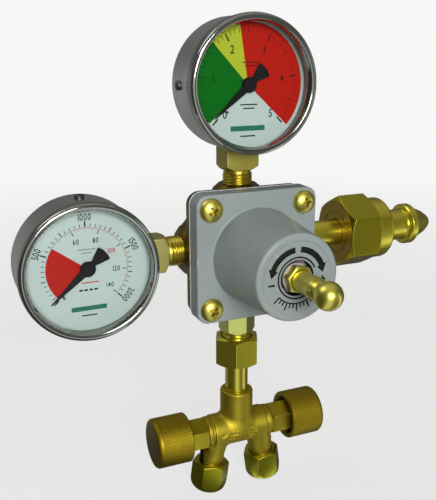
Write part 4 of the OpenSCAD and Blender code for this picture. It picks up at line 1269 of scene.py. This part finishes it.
def draw_low(s):
    def band(r0, r1, a0, a1, mat, y=L1):
        extrude(s, *sector2d(r0, r1, a0, a1, 2.0), y, BACK, mat)

    def on(u):
        return 225 - 54 * u
    band(1.9, 24.6, 133, 221, 1)
    band(1.9, 24.6, 99, 133, 2)
    band(1.9, 24.6, -43, 99, 3)
    def ink(a):
        return 7 if -43 <= a < 99 else 8 if 133 < a <= 221 else 4
    for i in range(51):
        a = on(i / 10)
        r0, w = (18.9, 0.62) if i % 10 == 0 else (19.7, 0.36) if i % 5 == 0 else (20.6, 0.24)
        extrude(s, *tick2d(r0, 22.3, a, w), L2, BACK, ink(a))
    for u in range(6):
        a = on(u) + (3.5 if u == 0 else -3.5 if u == 5 else 0)
        arc_text(s, str(u), 15.6, a, 3.3, L2, BACK, 4 if u in (0, 5) else ink(a), upright=True)

    def rule(x0, x1, z, h, mat):
        extrude(s, [(x0, z), (x1, z), (x1, z + h), (x0, z + h)], [(0, 1, 2, 3)], L2, BACK, mat)
    # plain rules where printed words stood
    rule(-7.8, 7.8, -18.6, 2.1, 5)
    rule(-3.4, 3.4, -21.0, 0.55, 4)
    rule(-3.6, 4.4, -8.2, 0.5, 4)
    rule(-2.2, 3.0, -9.7, 0.5, 4)
    rule(-2.6, 5.0, 8.6, 0.45, 7)
    rule(-1.4, 3.8, 7.2, 0.45, 7)


def draw_high(s):
    def on(v):
        return 225 - 270 * v / 2000.0

    def inner(v):
        return 225 - 270 * v / 140.0
    extrude(s, *sector2d(1.9, 16.4, 144, 225, 2.0), L1, BACK, 3)
    extrude(s, *sector2d(16.4, 16.68, -45, 144, 2.0), L2, BACK, 10)
    for i in range(41):
        a = on(50 * i)
        r1, w = (19.3, 0.55) if i % 10 == 0 else (18.7, 0.36) if i % 5 == 0 else (18.2, 0.27)
        extrude(s, *tick2d(16.9, r1, a, w), L2, BACK, 4)
    for v in (500, 1000, 1500, 2000):
        arc_text(s, str(v), 19.6, on(v) + (6 if v == 2000 else 0), 2.75, L2, BACK, 4, squeeze=0.72, gap=0.12)
    for v in range(50, 141, 5):
        a = inner(v)
        if a < 142:
            big = v % 20 == 0
            extrude(s, *tick2d(14.5 if big else 15.5, 16.2, a, 0.34 if big else 0.2), L2, BACK, 4 if big else 10)
    for v in (60, 80, 100, 120, 140):
        arc_text(s, str(v), 11.9, inner(v) + (4 if v == 140 else 0), 2.1, L2, BACK, 3 if v == 100 else 4, squeeze=0.78, gap=0.14, upright=True)

    def rule(x0, x1, z, h, mat):
        extrude(s, [(x0, z), (x1, z), (x1, z + h), (x0, z + h)], [(0, 1, 2, 3)], L2, BACK, mat)
    # plain rules where printed words stood
    rule(-7.2, 7.2, -17.6, 1.9, 5)
    rule(-3.2, 3.2, -19.9, 0.5, 4)
    rule(-3.4, 3.6, 7.6, 0.4, 9)
    rule(-2.0, 2.2, 6.2, 0.4, 9)
    rule(-2.6, 4.4, -6.1, 0.4, 3)
    for x in (-3.6, -1.6, 0.4, 2.4):
        rule(x, x + 1.4, -9.3, 0.75, 4)


def pointer(tag, fr, mats):
    m, at = fr
    s = Shape()
    z = math.radians(221)
    c, n = math.cos(z), math.sin(z)

    def place2(pts):
        return [(x * c - y * n, x * n + y * c) for x, y in pts]
    blade = [(1, -1.75), (6, -1.35), (15.5, -0.5), (19.9, -0.2), (19.9, 0.2), (15.5, 0.5), (6, 1.35), (1, 1.75)]
    tail = [(-1, 1.5), (-3.6, 1.3), (-5.2, 2.0), (-9.0, 3.4), (-9.45, 2.3), (-9.7, 1.1), (-9.75, 0), (-9.7, -1.1), (-9.45, -2.3), (-9.0, -3.4), (-5.2, -2.0),
            (-3.6, -1.3), (-1, -1.5)]
    outline = place2(blade + tail)
    extrude(s, outline, [tuple(range(len(outline)))], -11.8, -11.2)
    s.v = [v + np.array(at, float) for v in s.v]
    o = build(tag + "_pointer_blade", s, mats, bevel=0.09)
    hub = [(0.6, -11.0), (3.1, -11.0, 0.1), (3.1, -12.2, 0.4), (2.4, -12.9, 0.5), (0, -12.9)]
    h = build("hub", Shape().grid(turned(hub + [], MY, at, 48)), mats)
    bpy.ops.object.select_all(action="DESELECT")
    apply_modifiers(o)
    apply_modifiers(h)
    o.select_set(True)
    h.select_set(True)
    bpy.context.view_layer.objects.active = o
    bpy.ops.object.join()
    o.data.set_sharp_from_angle(angle=math.radians(50))
    return o


def socket(tag, fr, mats):
    m, at = fr
    ang = sorted(set([round(x, 4) for x in np.radians(np.arange(0, 360, 4))]
                     + [round(math.atan2(b * 5.6, a * 7.1) % (2 * math.pi) + d, 4) for a in (-1, 1) for b in (-1, 1) for d in np.radians(np.arange(-4, 4.1, 0.8))]))
    ang = np.array([a for a in ang if 0 <= a < 2 * math.pi])
    s = Shape()

    def prof(t):
        r = rect_radius(t, 7.5, 6.0, 0.5)
        z0 = float(np.interp(r, [6.9, 10.0], [-36.0, -33.8])) if r > 6.9 else -36.0
        rin = min(6.7, r - 0.3)
        return [(0, -36.0), (rin, -36.0, 0.2), (max(r, rin + 0.1), z0 if r > 6.9 else -35.9, 0.25), (r, -17.0), (0, -17.0)]
    s.grid(columns(prof, ang, m, at, 4), True, False, 1)
    shank = Shape()
    th = np.linspace(0, 2 * math.pi, 96, endpoint=False)
    head = fillet([(0, -35.5), (6.0, -35.5), (5.8, -36.2, 0.2), (5.8, -36.9)], 3)
    tail = fillet([(6.2, -43.4), (6.5, -51.9, 0.2), (5.9, -52.8, 0.2), (1.5, -52.8, 0.1), (1.5, -50.0), (0, -50.0)], 3)
    zz = np.linspace(-37.2, -43.0, 40)
    rows = []
    for t in th:
        ph = (zz / 1.2 - t / (2 * math.pi)) % 1.0
        tri = 1 - np.abs(2 * ph - 1)
        fade = np.clip((-36.9 - zz) / 0.8, 0, 1)
        rr = 5.95 + 0.55 * np.clip(tri * 1.6 - 0.3, 0, 1) * fade
        rows.append(np.concatenate([head, np.stack([rr, zz], 1), tail]))
    rows = np.array(rows)
    p = np.zeros(rows.shape[:2] + (3,))
    p[..., 0], p[..., 1], p[..., 2] = np.cos(th)[:, None] * rows[..., 0], np.sin(th)[:, None] * rows[..., 0], rows[..., 1]
    s.grid(p @ np.asarray(m).T + np.array(at), True, False, 0)
    return build(tag + "_socket_fitting", s, mats)


def gauge_screws(mats):
    s = Shape()
    for m, at in (LOW, HIGH):
        for a in (0, 180):
            mm = m @ rot_y(a) @ MX
            at2 = np.array(at) + m @ np.array([0, -3.0, 0])
            head = [(0, 25.6), (0.8, 25.6), (0.8, 27.32), (2.0, 27.32), (2.0, 28.1, 0.35), (1.4, 28.6, 0.5), (0, 28.6)]
            s.grid(turned(head, mm, at2, 32, 4), True, False)
        for x in (-4.5, 3.8):
            foot = [(0, -3.5), (1.2, -3.5, 0.2), (1.5, -3.2, 0.1), (1.5, -2.62), (0.8, -2.62), (0.8, 1.2), (0, 1.2)]
            at3 = np.array(at) + m @ np.array([x, 0, -18.4])
            s.grid(turned(foot, m @ MY, at3, 24, 3), True, False)
    o = build("gauge_screw_set", s, mats)
    c = Shape()
    for m, at in (LOW, HIGH):
        for k in (-1, 1):
            v = np.array([(k * x, -3 + y, z) for x in (28.05, 29.5) for y, z in ((-2.6, -0.28), (2.6, -0.28), (2.6, 0.28), (-2.6, 0.28))])
            f = [(0, 1, 2, 3), (7, 6, 5, 4), (4, 5, 1, 0), (5, 6, 2, 1), (6, 7, 3, 2), (7, 4, 0, 3)]
            c.add(v @ np.asarray(m).T + np.array(at), f)
    o = cut(o, build("cutter", c, [], weighted=False))
    o.data.polygons.foreach_set("use_smooth", [True] * len(o.data.polygons))
    o.data.set_sharp_from_angle(angle=math.radians(40))
    return o


# ---------------------------------------------------------------- finishes
def finishes():
    g = {}
    g["cast"] = brass("cast_brass", "cast", light=(0.20, 0.135, 0.020), dark=(0.12, 0.08, 0.012), tarnish=(0.07, 0.042, 0.008), grime=0.4, rough=0.37, grooves=0.16, coat=0.05)
    g["tumbled"] = brass("tumbled_brass", "cast", light=(0.455, 0.365, 0.032), dark=(0.365, 0.285, 0.0225), grime=0.18, rough=0.50, grooves=0.05, coat=0.0, fleck=0.6)
    g["turn_x"] = brass("turned_brass_inlet", "turned", (1, 0, 0), (0, 0, 0), light=(0.70, 0.62, 0.06), dark=(0.60, 0.51, 0.045), rough=0.29)
    g["hex_x"] = brass("bar_brass_inlet", "drawn", (1, 0, 0), (0, 0, 0), rough=0.29, grooves=0.015, light=(0.42, 0.37, 0.022), dark=(0.37, 0.315, 0.016), coat=0.05, fleck=0.35)
    # darker, redder copy of the inlet brass for the nut's back face: painted shade and a painted reflection of brass on
    # brass
    g["nut_back"] = brass("turned_brass_nut_back", "turned", (1, 0, 0), (0, 0, 0), rough=0.36, light=(0.37, 0.255, 0.03), dark=(0.26, 0.17, 0.02), coat=0.03)
    g["turn_z"] = brass("turned_brass_outlet", "turned", (0, 0, 1), (0, 0, 0), light=(0.78, 0.70, 0.10), dark=(0.68, 0.59, 0.07), rough=0.29, grooves=0.01, grime=0.06, edge_rub_and_highlight=0.0, fleck=0.4)
    g["hex_z"] = brass("bar_brass_outlet", "drawn", (0, 0, 1), (0, 0, 0), rough=0.29, grooves=0.015, light=(0.89, 0.78, 0.065), dark=(0.82, 0.71, 0.056), coat=0.05, fleck=0.35)
    # pale, greyish copy of the outlet brass for the nipple's hex flats: a painted highlight
    g["hex_nip"] = brass("bar_brass_nipple_painted_highlight", "drawn", (0, 0, 1), (0, 0, 0), rough=0.30, grooves=0.015, light=(0.70, 0.71, 0.20), dark=(0.62, 0.62, 0.16), coat=0.15, fleck=0.35)
    g["turn_y"] = brass("turned_brass_spindle", "turned", (0, 1, 0), (0, 0, 0), rough=0.31, light=(0.74, 0.66, 0.12), dark=(0.66, 0.57, 0.09), grooves=0.01, grime=0.06, edge_rub_and_highlight=0.0, fleck=0.3)
    g["hex_y"] = brass("bar_brass_spindle", "drawn", (0, 1, 0), (0, 0, 0), rough=0.42, light=(0.82, 0.76, 0.22), dark=(0.74, 0.66, 0.16), grooves=0.015, fleck=0.35)
    g["screw"] = brass("plated_screw_brass", "cast", light=(0.70, 0.62, 0.13), dark=(0.60, 0.51, 0.09), rough=0.36, grooves=0.02, grime=0.12, edge_rub_and_highlight=0.25, coat=0.1, fleck=0.5)
    g["turn_m"] = brass("turned_brass_manifold", "turned", (1, 0, 0), (0, 0, -91), light=(0.52, 0.43, 0.035), dark=(0.43, 0.34, 0.025), rough=0.36, coat=0.05)
    g["hex_m"] = brass("bar_brass_gland", "drawn", (1, 0, 0), (0, 0, -91), light=(0.52, 0.42, 0.03), dark=(0.45, 0.35, 0.022), rough=0.36, grooves=0.015, coat=0.05, fleck=0.35)
    g["knob"] = brass("knob_brass", "cast", light=(0.34, 0.245, 0.014), dark=(0.28, 0.195, 0.012), tarnish=(0.16, 0.11, 0.01), rough=0.48, grooves=0.06, grime=0.2, edge_rub_and_highlight=0.12, coat=0.0, fleck=0.5)
    # darker copy of the knob brass for the knobs' flat end faces: painted shade
    g["knob_end"] = brass("knob_end_brass", "turned", (1, 0, 0), (0, 0, -91), light=(0.22, 0.175, 0.014), dark=(0.17, 0.135, 0.011), rough=0.42, grooves=0.10, grime=0.3, coat=0.0)
    # lighter, dull brown for the knobs' bore and recess: painted light where the deep recess would be dark
    g["knob_in"] = metal("knob_recess_painted_light", (0.30, 0.19, 0.045), (0.22, 0.13, 0.03), 0.6, 900, 0.15, 0.2)
    for k, n in ((-1, "l"), (1, "r")):
        m, at = outlet_frame(k)
        ax = tuple(m @ np.array([0, 0, 1.0]))
        g["turn_o" + n] = brass("turned_brass_nut_" + n, "turned", ax, at, light=(0.46, 0.40, 0.025), dark=(0.37, 0.32, 0.02), rough=0.32, coat=0.05)
        g["hex_o" + n] = brass("bar_brass_nut_" + n, "drawn", ax, at, light=(0.38, 0.365, 0.015), dark=(0.33, 0.31, 0.013), rough=0.33, grooves=0.015, coat=0.04, fleck=0.35)
    g["block_low"] = brass("milled_brass_top", "drawn", (0, 0, 1), (0, 0, 0), light=(0.45, 0.405, 0.092), dark=(0.395, 0.34, 0.064), rough=0.46, grooves=0.02, coat=0.02, fleck=0.5)
    g["block_high"] = brass("milled_brass_side", "drawn", (1, 0, 0), (0, 0, 0), light=(0.47, 0.43, 0.145), dark=(0.415, 0.365, 0.105), rough=0.46, grooves=0.02, coat=0.02, fleck=0.5)
    g["low_thread"] = brass("thread_brass_top", "turned", (0, 0, 1), (0, 0, 0), light=(0.58, 0.47, 0.05), dark=(0.44, 0.34, 0.035), rough=0.32, grooves=0.01, edge_rub_and_highlight=0.0)
    g["high_thread"] = brass("thread_brass_side", "turned", (1, 0, 0), (0, 0, 0), light=(0.60, 0.49, 0.055), dark=(0.46, 0.36, 0.038), rough=0.32, grooves=0.01, edge_rub_and_highlight=0.0)
    g["movement"] = brass("stamped_brass", "cast", light=(0.80, 0.66, 0.28), dark=(0.62, 0.50, 0.18), rough=0.28, grooves=0.05, grime=0.1)
    g["paint"] = enamel("grey_enamel", (0.33, 0.375, 0.365), (0.285, 0.325, 0.317), coat=0.07, rubbed_and_highlit_edge_colour=(0.50, 0.54, 0.53))
    g["chrome_low"] = chrome("chrome_top_gauge", (0, 1, 0), (0, 0, 69.4))
    g["chrome_high"] = chrome("chrome_side_gauge", (0, 1, 0), (-70, 0, 0))
    g["case_low"] = chrome("case_top_gauge", (0, 1, 0), (0, 0, 69.4), (0.63, 0.67, 0.63), (0.48, 0.52, 0.48), 0.28)
    g["case_high"] = chrome("case_side_gauge", (0, 1, 0), (-70, 0, 0), (0.52, 0.56, 0.52), (0.40, 0.44, 0.40), 0.26)
    g["glass"] = glass("gauge_glass")
    g["wall"] = enamel("case_wall_inside", (0.46, 0.46, 0.45), (0.40, 0.40, 0.39), rough=0.5, orange=0.05, coat=0.0)
    g["dial"] = enamel("dial_white", (0.62, 0.72, 0.70), (0.57, 0.66, 0.64), rough=0.55, orange=0.02, coat=0.0)
    g["green"] = print_ink("print_green", (0.001, 0.16, 0.008), (0.001, 0.13, 0.006))
    g["yellow"] = print_ink("print_yellow", (0.52, 0.58, 0.035), (0.46, 0.50, 0.03))
    g["red"] = print_ink("print_red", (0.56, 0.013, 0.005), (0.48, 0.010, 0.004))
    g["black"] = print_ink("print_black", (0.012, 0.013, 0.012), (0.022, 0.023, 0.022))
    g["rule"] = print_ink("print_rule_green", (0.02, 0.17, 0.10), (0.035, 0.22, 0.14))
    g["on_red"] = print_ink("print_on_red", (0.11, 0.008, 0.006), (0.15, 0.010, 0.006))
    g["on_green"] = print_ink("print_on_green", (0.004, 0.055, 0.010), (0.004, 0.07, 0.012))
    g["grey"] = print_ink("print_grey", (0.22, 0.25, 0.25), (0.28, 0.31, 0.31))
    g["pink"] = print_ink("print_pink", (0.55, 0.26, 0.25), (0.50, 0.32, 0.30))
    g["pin"] = metal("pin_steel", (0.45, 0.47, 0.47), (0.30, 0.31, 0.31), 0.35)
    g["pointer"] = print_ink("pointer_black", (0.010, 0.010, 0.011), (0.018, 0.018, 0.018), rough=0.5)
    g["steel"] = metal("machined_steel", (0.58, 0.58, 0.60), (0.42, 0.42, 0.44), 0.3)
    g["case_screw"] = metal("screw_steel", (0.13, 0.13, 0.13), (0.08, 0.08, 0.08), 0.42)
    g["spring"] = metal("spring_steel", (0.46, 0.46, 0.48), (0.30, 0.30, 0.32), 0.32)
    g["bush"] = metal("bush_alloy", (0.50, 0.43, 0.42), (0.42, 0.36, 0.35), 0.50, 2200, 0.05, 0.45, (0, 1, 0), (0, 0, 0))
    g["rubber"] = rubber("black_rubber")
    g["gasket"] = enamel("diaphragm_edge", (0.86, 0.86, 0.79), (0.74, 0.74, 0.67), rough=0.65, orange=0.1, coat=0.0)
    g["filter"] = brass("sintered_bronze", "cast", light=(0.50, 0.33, 0.14), dark=(0.34, 0.22, 0.09), rough=0.5, grooves=0.6)
    return g


def make_all():
    g = finishes()
    place(bonnet([g["paint"], g["black"]]), "bonnet_paint", "bonnet")
    marks = bonnet_marks([g["black"]])
    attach(marks, BODY["bonnet"])
    place(bonnet_screws([g["screw"]]), "bright_brass", "bonnet_screws")
    place(cast_piece("body_forging", body_shape, (-29, -13.6, -29), (29, 16.8, 29), 0.55, [g["cast"]]), "body_brass", "regulator_body")
    place(cast_piece("manifold_casting", manifold_shape, (-18, -9.4, -114.5), (18, 9.4, -69.8), 0.32, [g["tumbled"]]), "manifold_brass", "manifold_body")
    place(inlet_nut([g["turn_x"], g["hex_x"], g["nut_back"]]), "bright_brass", "inlet_nut")
    place(inlet_nipple([g["turn_x"]]), "bright_brass", "inlet_nipple")
    place(outlet_nipple([g["turn_z"], g["hex_nip"]]), "bright_brass", "outlet_nipple")
    place(union_nut([g["turn_z"], g["hex_z"]]), "bright_brass", "union_nut")
    place(tailpiece([g["turn_z"]]), "bright_brass", "tailpiece")
    place(valve_plug([g["turn_y"], g["hex_y"]]), "bright_brass", "valve_plug")
    place(bush([g["bush"]]), "bush_metal", "adjuster_bush")
    place(adjusting_screw([g["turn_y"]]), "bright_brass", "adjusting_screw")
    place(rotated_about_y(lock_nut([g["turn_y"], g["hex_y"]]), 12), "bright_brass", "lock_nut")
    for k, n in ((-1, "left"), (1, "right")):
        c = n[0]
        place(gland(k, [g["turn_m"], g["hex_m"]]), "manifold_brass", "gland_" + n)
        place(knob(k, [g["knob"], g["knob_end"], g["knob_in"]]), "knob_brass", "knob_" + n)
        place(stem(k, [g["turn_m"]]), "manifold_brass", "stem_" + n)
        place(outlet_nut(k, -15 if k < 0 else -5, [g["turn_o" + c], g["hex_o" + c]]), "manifold_brass", "outlet_nut_" + n)
    for tag, fr, up, draw in (("low", LOW, LOW, draw_low), ("high", HIGH, HIGH_UP, draw_high)):
        case, ledge = gauge_case(tag, fr, [g["case_" + tag], g["wall"]])
        place(case, "gauge_chrome", tag + "_case")
        ring = build(tag + "_dial_ledge", ledge, [g["case_" + tag]])
        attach(ring, BODY[tag + "_case"])
        place(bezel(tag, fr, [g["chrome_" + tag]]), "gauge_chrome", tag + "_bezel")
        place(window(tag, fr, [g["glass"]]), "gauge_glass", tag + "_window")
        place(dial(tag, up, draw, [g["dial"], g["green"], g["yellow"], g["red"], g["black"], g["rule"], g["pin"], g["on_red"], g["on_green"], g["grey"], g["pink"]]), "dial_plate", tag + "_dial")
        place(pointer(tag, up, [g["pointer"]]), "pointer_black", tag + "_pointer")
        place(socket(tag, fr, [g[tag + "_thread"], g["block_" + tag]]), "bright_brass", tag + "_socket")
    place(gauge_screws([g["case_screw"]]), "steel", "gauge_screws")
    rim, middle = diaphragm_parts([g["gasket"]])
    place(rim, "rubber", "diaphragm")
    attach(middle, BODY["diaphragm_plate"])
    o = place(coil_spring("adjusting_spring_wire", 8.5, 1.1, -40.3, -15.3, 6.5, [g["spring"]]), "steel", "adjusting_spring")
    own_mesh(o)
    o = place(coil_spring("poppet_spring_wire", 3.1, 0.35, 1.7, 7.95, 5, [g["spring"]], 32, 12), "steel", "poppet_spring")
    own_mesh(o)
    kept = {"diaphragm_plate": "steel", "valve_pin": "movement", "valve_seat": "hex_y", "poppet": "turn_y",
            "spring_button": "steel", "inlet_filter": "filter", "thrust_washer": "steel", "seat_disc_left": "rubber",
            "seat_disc_right": "rubber", "stem_orings": "rubber", "ferrules": "turn_m", "hairsprings": "spring"}
    for tag in ("low", "high"):
        for part in ("arbor", "bourdon", "movement", "sector", "link"):
            kept[tag + "_" + part] = "movement"
    for n, key in kept.items():
        o = frame["nodes"][n]
        for s in o.material_slots:
            s.material = g[key]
        if not o.material_slots:
            o.data.materials.append(g[key])


BOUNCE = ((0.00, 0.07), (0.11, 0.07), (0.14, 0.10), (0.175, 0.82), (0.235, 0.82), (0.27, 0.20), (0.30, 0.16), (0.385, 0.20), (0.400, 1.6), (0.420, 1.6), (0.435, 0.16),
          (0.50, 0.12), (0.68, 0.10), (0.72, 0.24), (0.79, 0.24), (0.815, 0.34), (0.86, 0.34), (0.89, 0.10), (1.00, 0.07))


def fill_ramp(ramp, stops):
    """Puts (place, colour) stops into a new colour ramp, in order."""
    el = ramp.elements
    for e, (p, c) in zip((el[0], el[-1]), (stops[0], stops[-1])):
        e.position, e.color = p, tuple(c) + (1,)
    for p, c in stops[1:-1]:
        el.new(p).color = tuple(c) + (1,)


def around(t, position, centre):
    """Share of a full turn, from -X towards -Y, about a point."""
    sep = t.nodes.new("ShaderNodeSeparateXYZ")
    t.links.new(position, sep.inputs[0])
    out = []
    for i in (0, 1):
        m = t.nodes.new("ShaderNodeMath")
        m.operation = "SUBTRACT"
        t.links.new(sep.outputs[i], m.inputs[0])
        m.inputs[1].default_value = centre[i]
        out.append(m.outputs[0])
    a = t.nodes.new("ShaderNodeMath")
    a.operation = "ARCTAN2"
    t.links.new(out[1], a.inputs[0])
    t.links.new(out[0], a.inputs[1])
    r = t.nodes.new("ShaderNodeMapRange")
    r.inputs[1].default_value, r.inputs[2].default_value = -math.pi, math.pi
    t.links.new(a.outputs[0], r.inputs[0])
    ramp = t.nodes.new("ShaderNodeValToRGB")
    fill_ramp(ramp.color_ramp, [(p, (v * 0.94, v, v * 1.02) if v > 0.4 else (v, v, v)) for p, v in BOUNCE])
    t.links.new(r.outputs[0], ramp.inputs[0])
    return ramp.outputs[0], sep


def make_stage():
    k = Nodes("floor_pale")
    n = k.noise(k.co, 6, 3, 0.5)
    path = k.new("ShaderNodeLightPath")
    soft = k.shader(Base_Color=k.mix(k.ranged(n, 0, 1, 0.3, 0.7), (0.42, 0.42, 0.415), (0.40, 0.40, 0.395)), Roughness=0.9)
    # the table as the camera sees it: pale, with a soft shadow, fading into the background
    dist = k.vec("SUBTRACT", k.co, (-0.09, 0.0, float(cad_lo.z)))
    ln = k.new("ShaderNodeVectorMath", operation="LENGTH")
    k.link(dist, ln.inputs[0])
    fade = k.ranged(ln.outputs["Value"], 0.0, 1.0, 0.25, 0.9)
    glow = k.new("ShaderNodeEmission")
    glow.inputs[0].default_value, glow.inputs[1].default_value = (1, 1, 0.995, 1), 0.72
    pale = k.shader(Base_Color=(0.16, 0.16, 0.158), Roughness=0.95, Specular_IOR_Level=0.0)
    add = k.new("ShaderNodeAddShader")
    k.link(glow.outputs[0], add.inputs[0])
    k.link(pale, add.inputs[1])
    far = k.new("ShaderNodeEmission")
    far.inputs[0].default_value, far.inputs[1].default_value = (1, 1, 0.995, 1), 0.93
    seen = k.new("ShaderNodeMixShader")
    k.link(fade, seen.inputs[0])
    k.link(add.outputs[0], seen.inputs[1])
    k.link(far.outputs[0], seen.inputs[2])
    # the same table as the metal reflects it: mostly shaded, with the light's two strips
    ramp, _ = around(k.t, k.co, (-0.091, 0.0))
    mirror = k.new("ShaderNodeEmission")
    k.link(ramp, mirror.inputs[0])
    mirror.inputs[1].default_value = 1.0
    m1 = k.new("ShaderNodeMixShader")
    k.link(path.outputs["Is Glossy Ray"], m1.inputs[0])
    k.link(soft, m1.inputs[1])
    k.link(mirror.outputs[0], m1.inputs[2])
    m2 = k.new("ShaderNodeMixShader")
    k.link(path.outputs["Is Camera Ray"], m2.inputs[0])
    k.link(m1.outputs[0], m2.inputs[1])
    k.link(seen.outputs[0], m2.inputs[2])
    mat = k.done(m2.outputs[0])
    me = bpy.data.meshes.new("floor")
    z = cad_lo.z - 0.0002
    me.from_pydata([(-6, -4, z), (6, -4, z), (6, 12, z), (-6, 12, z)], [], [(0, 1, 2, 3)])
    me.materials.append(mat)
    floor = bpy.data.objects.new("floor", me)
    scene.collection.objects.link(floor)
    w = bpy.data.worlds.new("world")
    w.use_nodes = True
    scene.world = w
    t = w.node_tree
    t.nodes.clear()
    out = t.nodes.new("ShaderNodeOutputWorld")
    co = t.nodes.new("ShaderNodeTexCoord")
    low, sep = around(t, co.outputs["Generated"], (0.0, 0.0))
    ramp = t.nodes.new("ShaderNodeValToRGB")
    fill_ramp(ramp.color_ramp, [(p, (v, v, v * 0.99)) for p, v in ((0.0, 0.10), (0.25, 0.11), (0.55, 0.17), (0.80, 0.38), (1.0, 0.55))])
    t.links.new(sep.outputs[2], ramp.inputs[0])
    up = t.nodes.new("ShaderNodeMapRange")
    up.inputs[1].default_value, up.inputs[2].default_value = 0.05, 0.35
    t.links.new(sep.outputs[2], up.inputs[0])
    blend = t.nodes.new("ShaderNodeMix")
    blend.data_type = "RGBA"
    t.links.new(up.outputs[0], blend.inputs[0])
    t.links.new(low, blend.inputs[6])
    t.links.new(ramp.outputs[0], blend.inputs[7])
    soft = t.nodes.new("ShaderNodeBackground")
    t.links.new(blend.outputs[2], soft.inputs[0])
    white = t.nodes.new("ShaderNodeBackground")
    white.inputs[0].default_value, white.inputs[1].default_value = (1, 1, 0.995, 1), 0.93
    path = t.nodes.new("ShaderNodeLightPath")
    less = t.nodes.new("ShaderNodeMapRange")
    less.inputs[3].default_value, less.inputs[4].default_value = 1.0, 0.30
    t.links.new(path.outputs["Is Diffuse Ray"], less.inputs[0])
    t.links.new(less.outputs[0], soft.inputs[1])
    mix = t.nodes.new("ShaderNodeMixShader")
    t.links.new(path.outputs["Is Camera Ray"], mix.inputs[0])
    t.links.new(soft.outputs[0], mix.inputs[1])
    t.links.new(white.outputs[0], mix.inputs[2])
    t.links.new(mix.outputs[0], out.inputs[0])
    aim = (-0.09, -0.02, -0.01)
    area("key", (-0.30, -1.20, 0.38), aim, 0.50, 13.5, (1.0, 1.0, 0.985), 0.50)
    area("top", (-0.62, 0.20, 0.76), aim, 0.50, 1.6, (1.0, 1.0, 1.0), 0.50)


make_camera()
make_all()
make_stage()
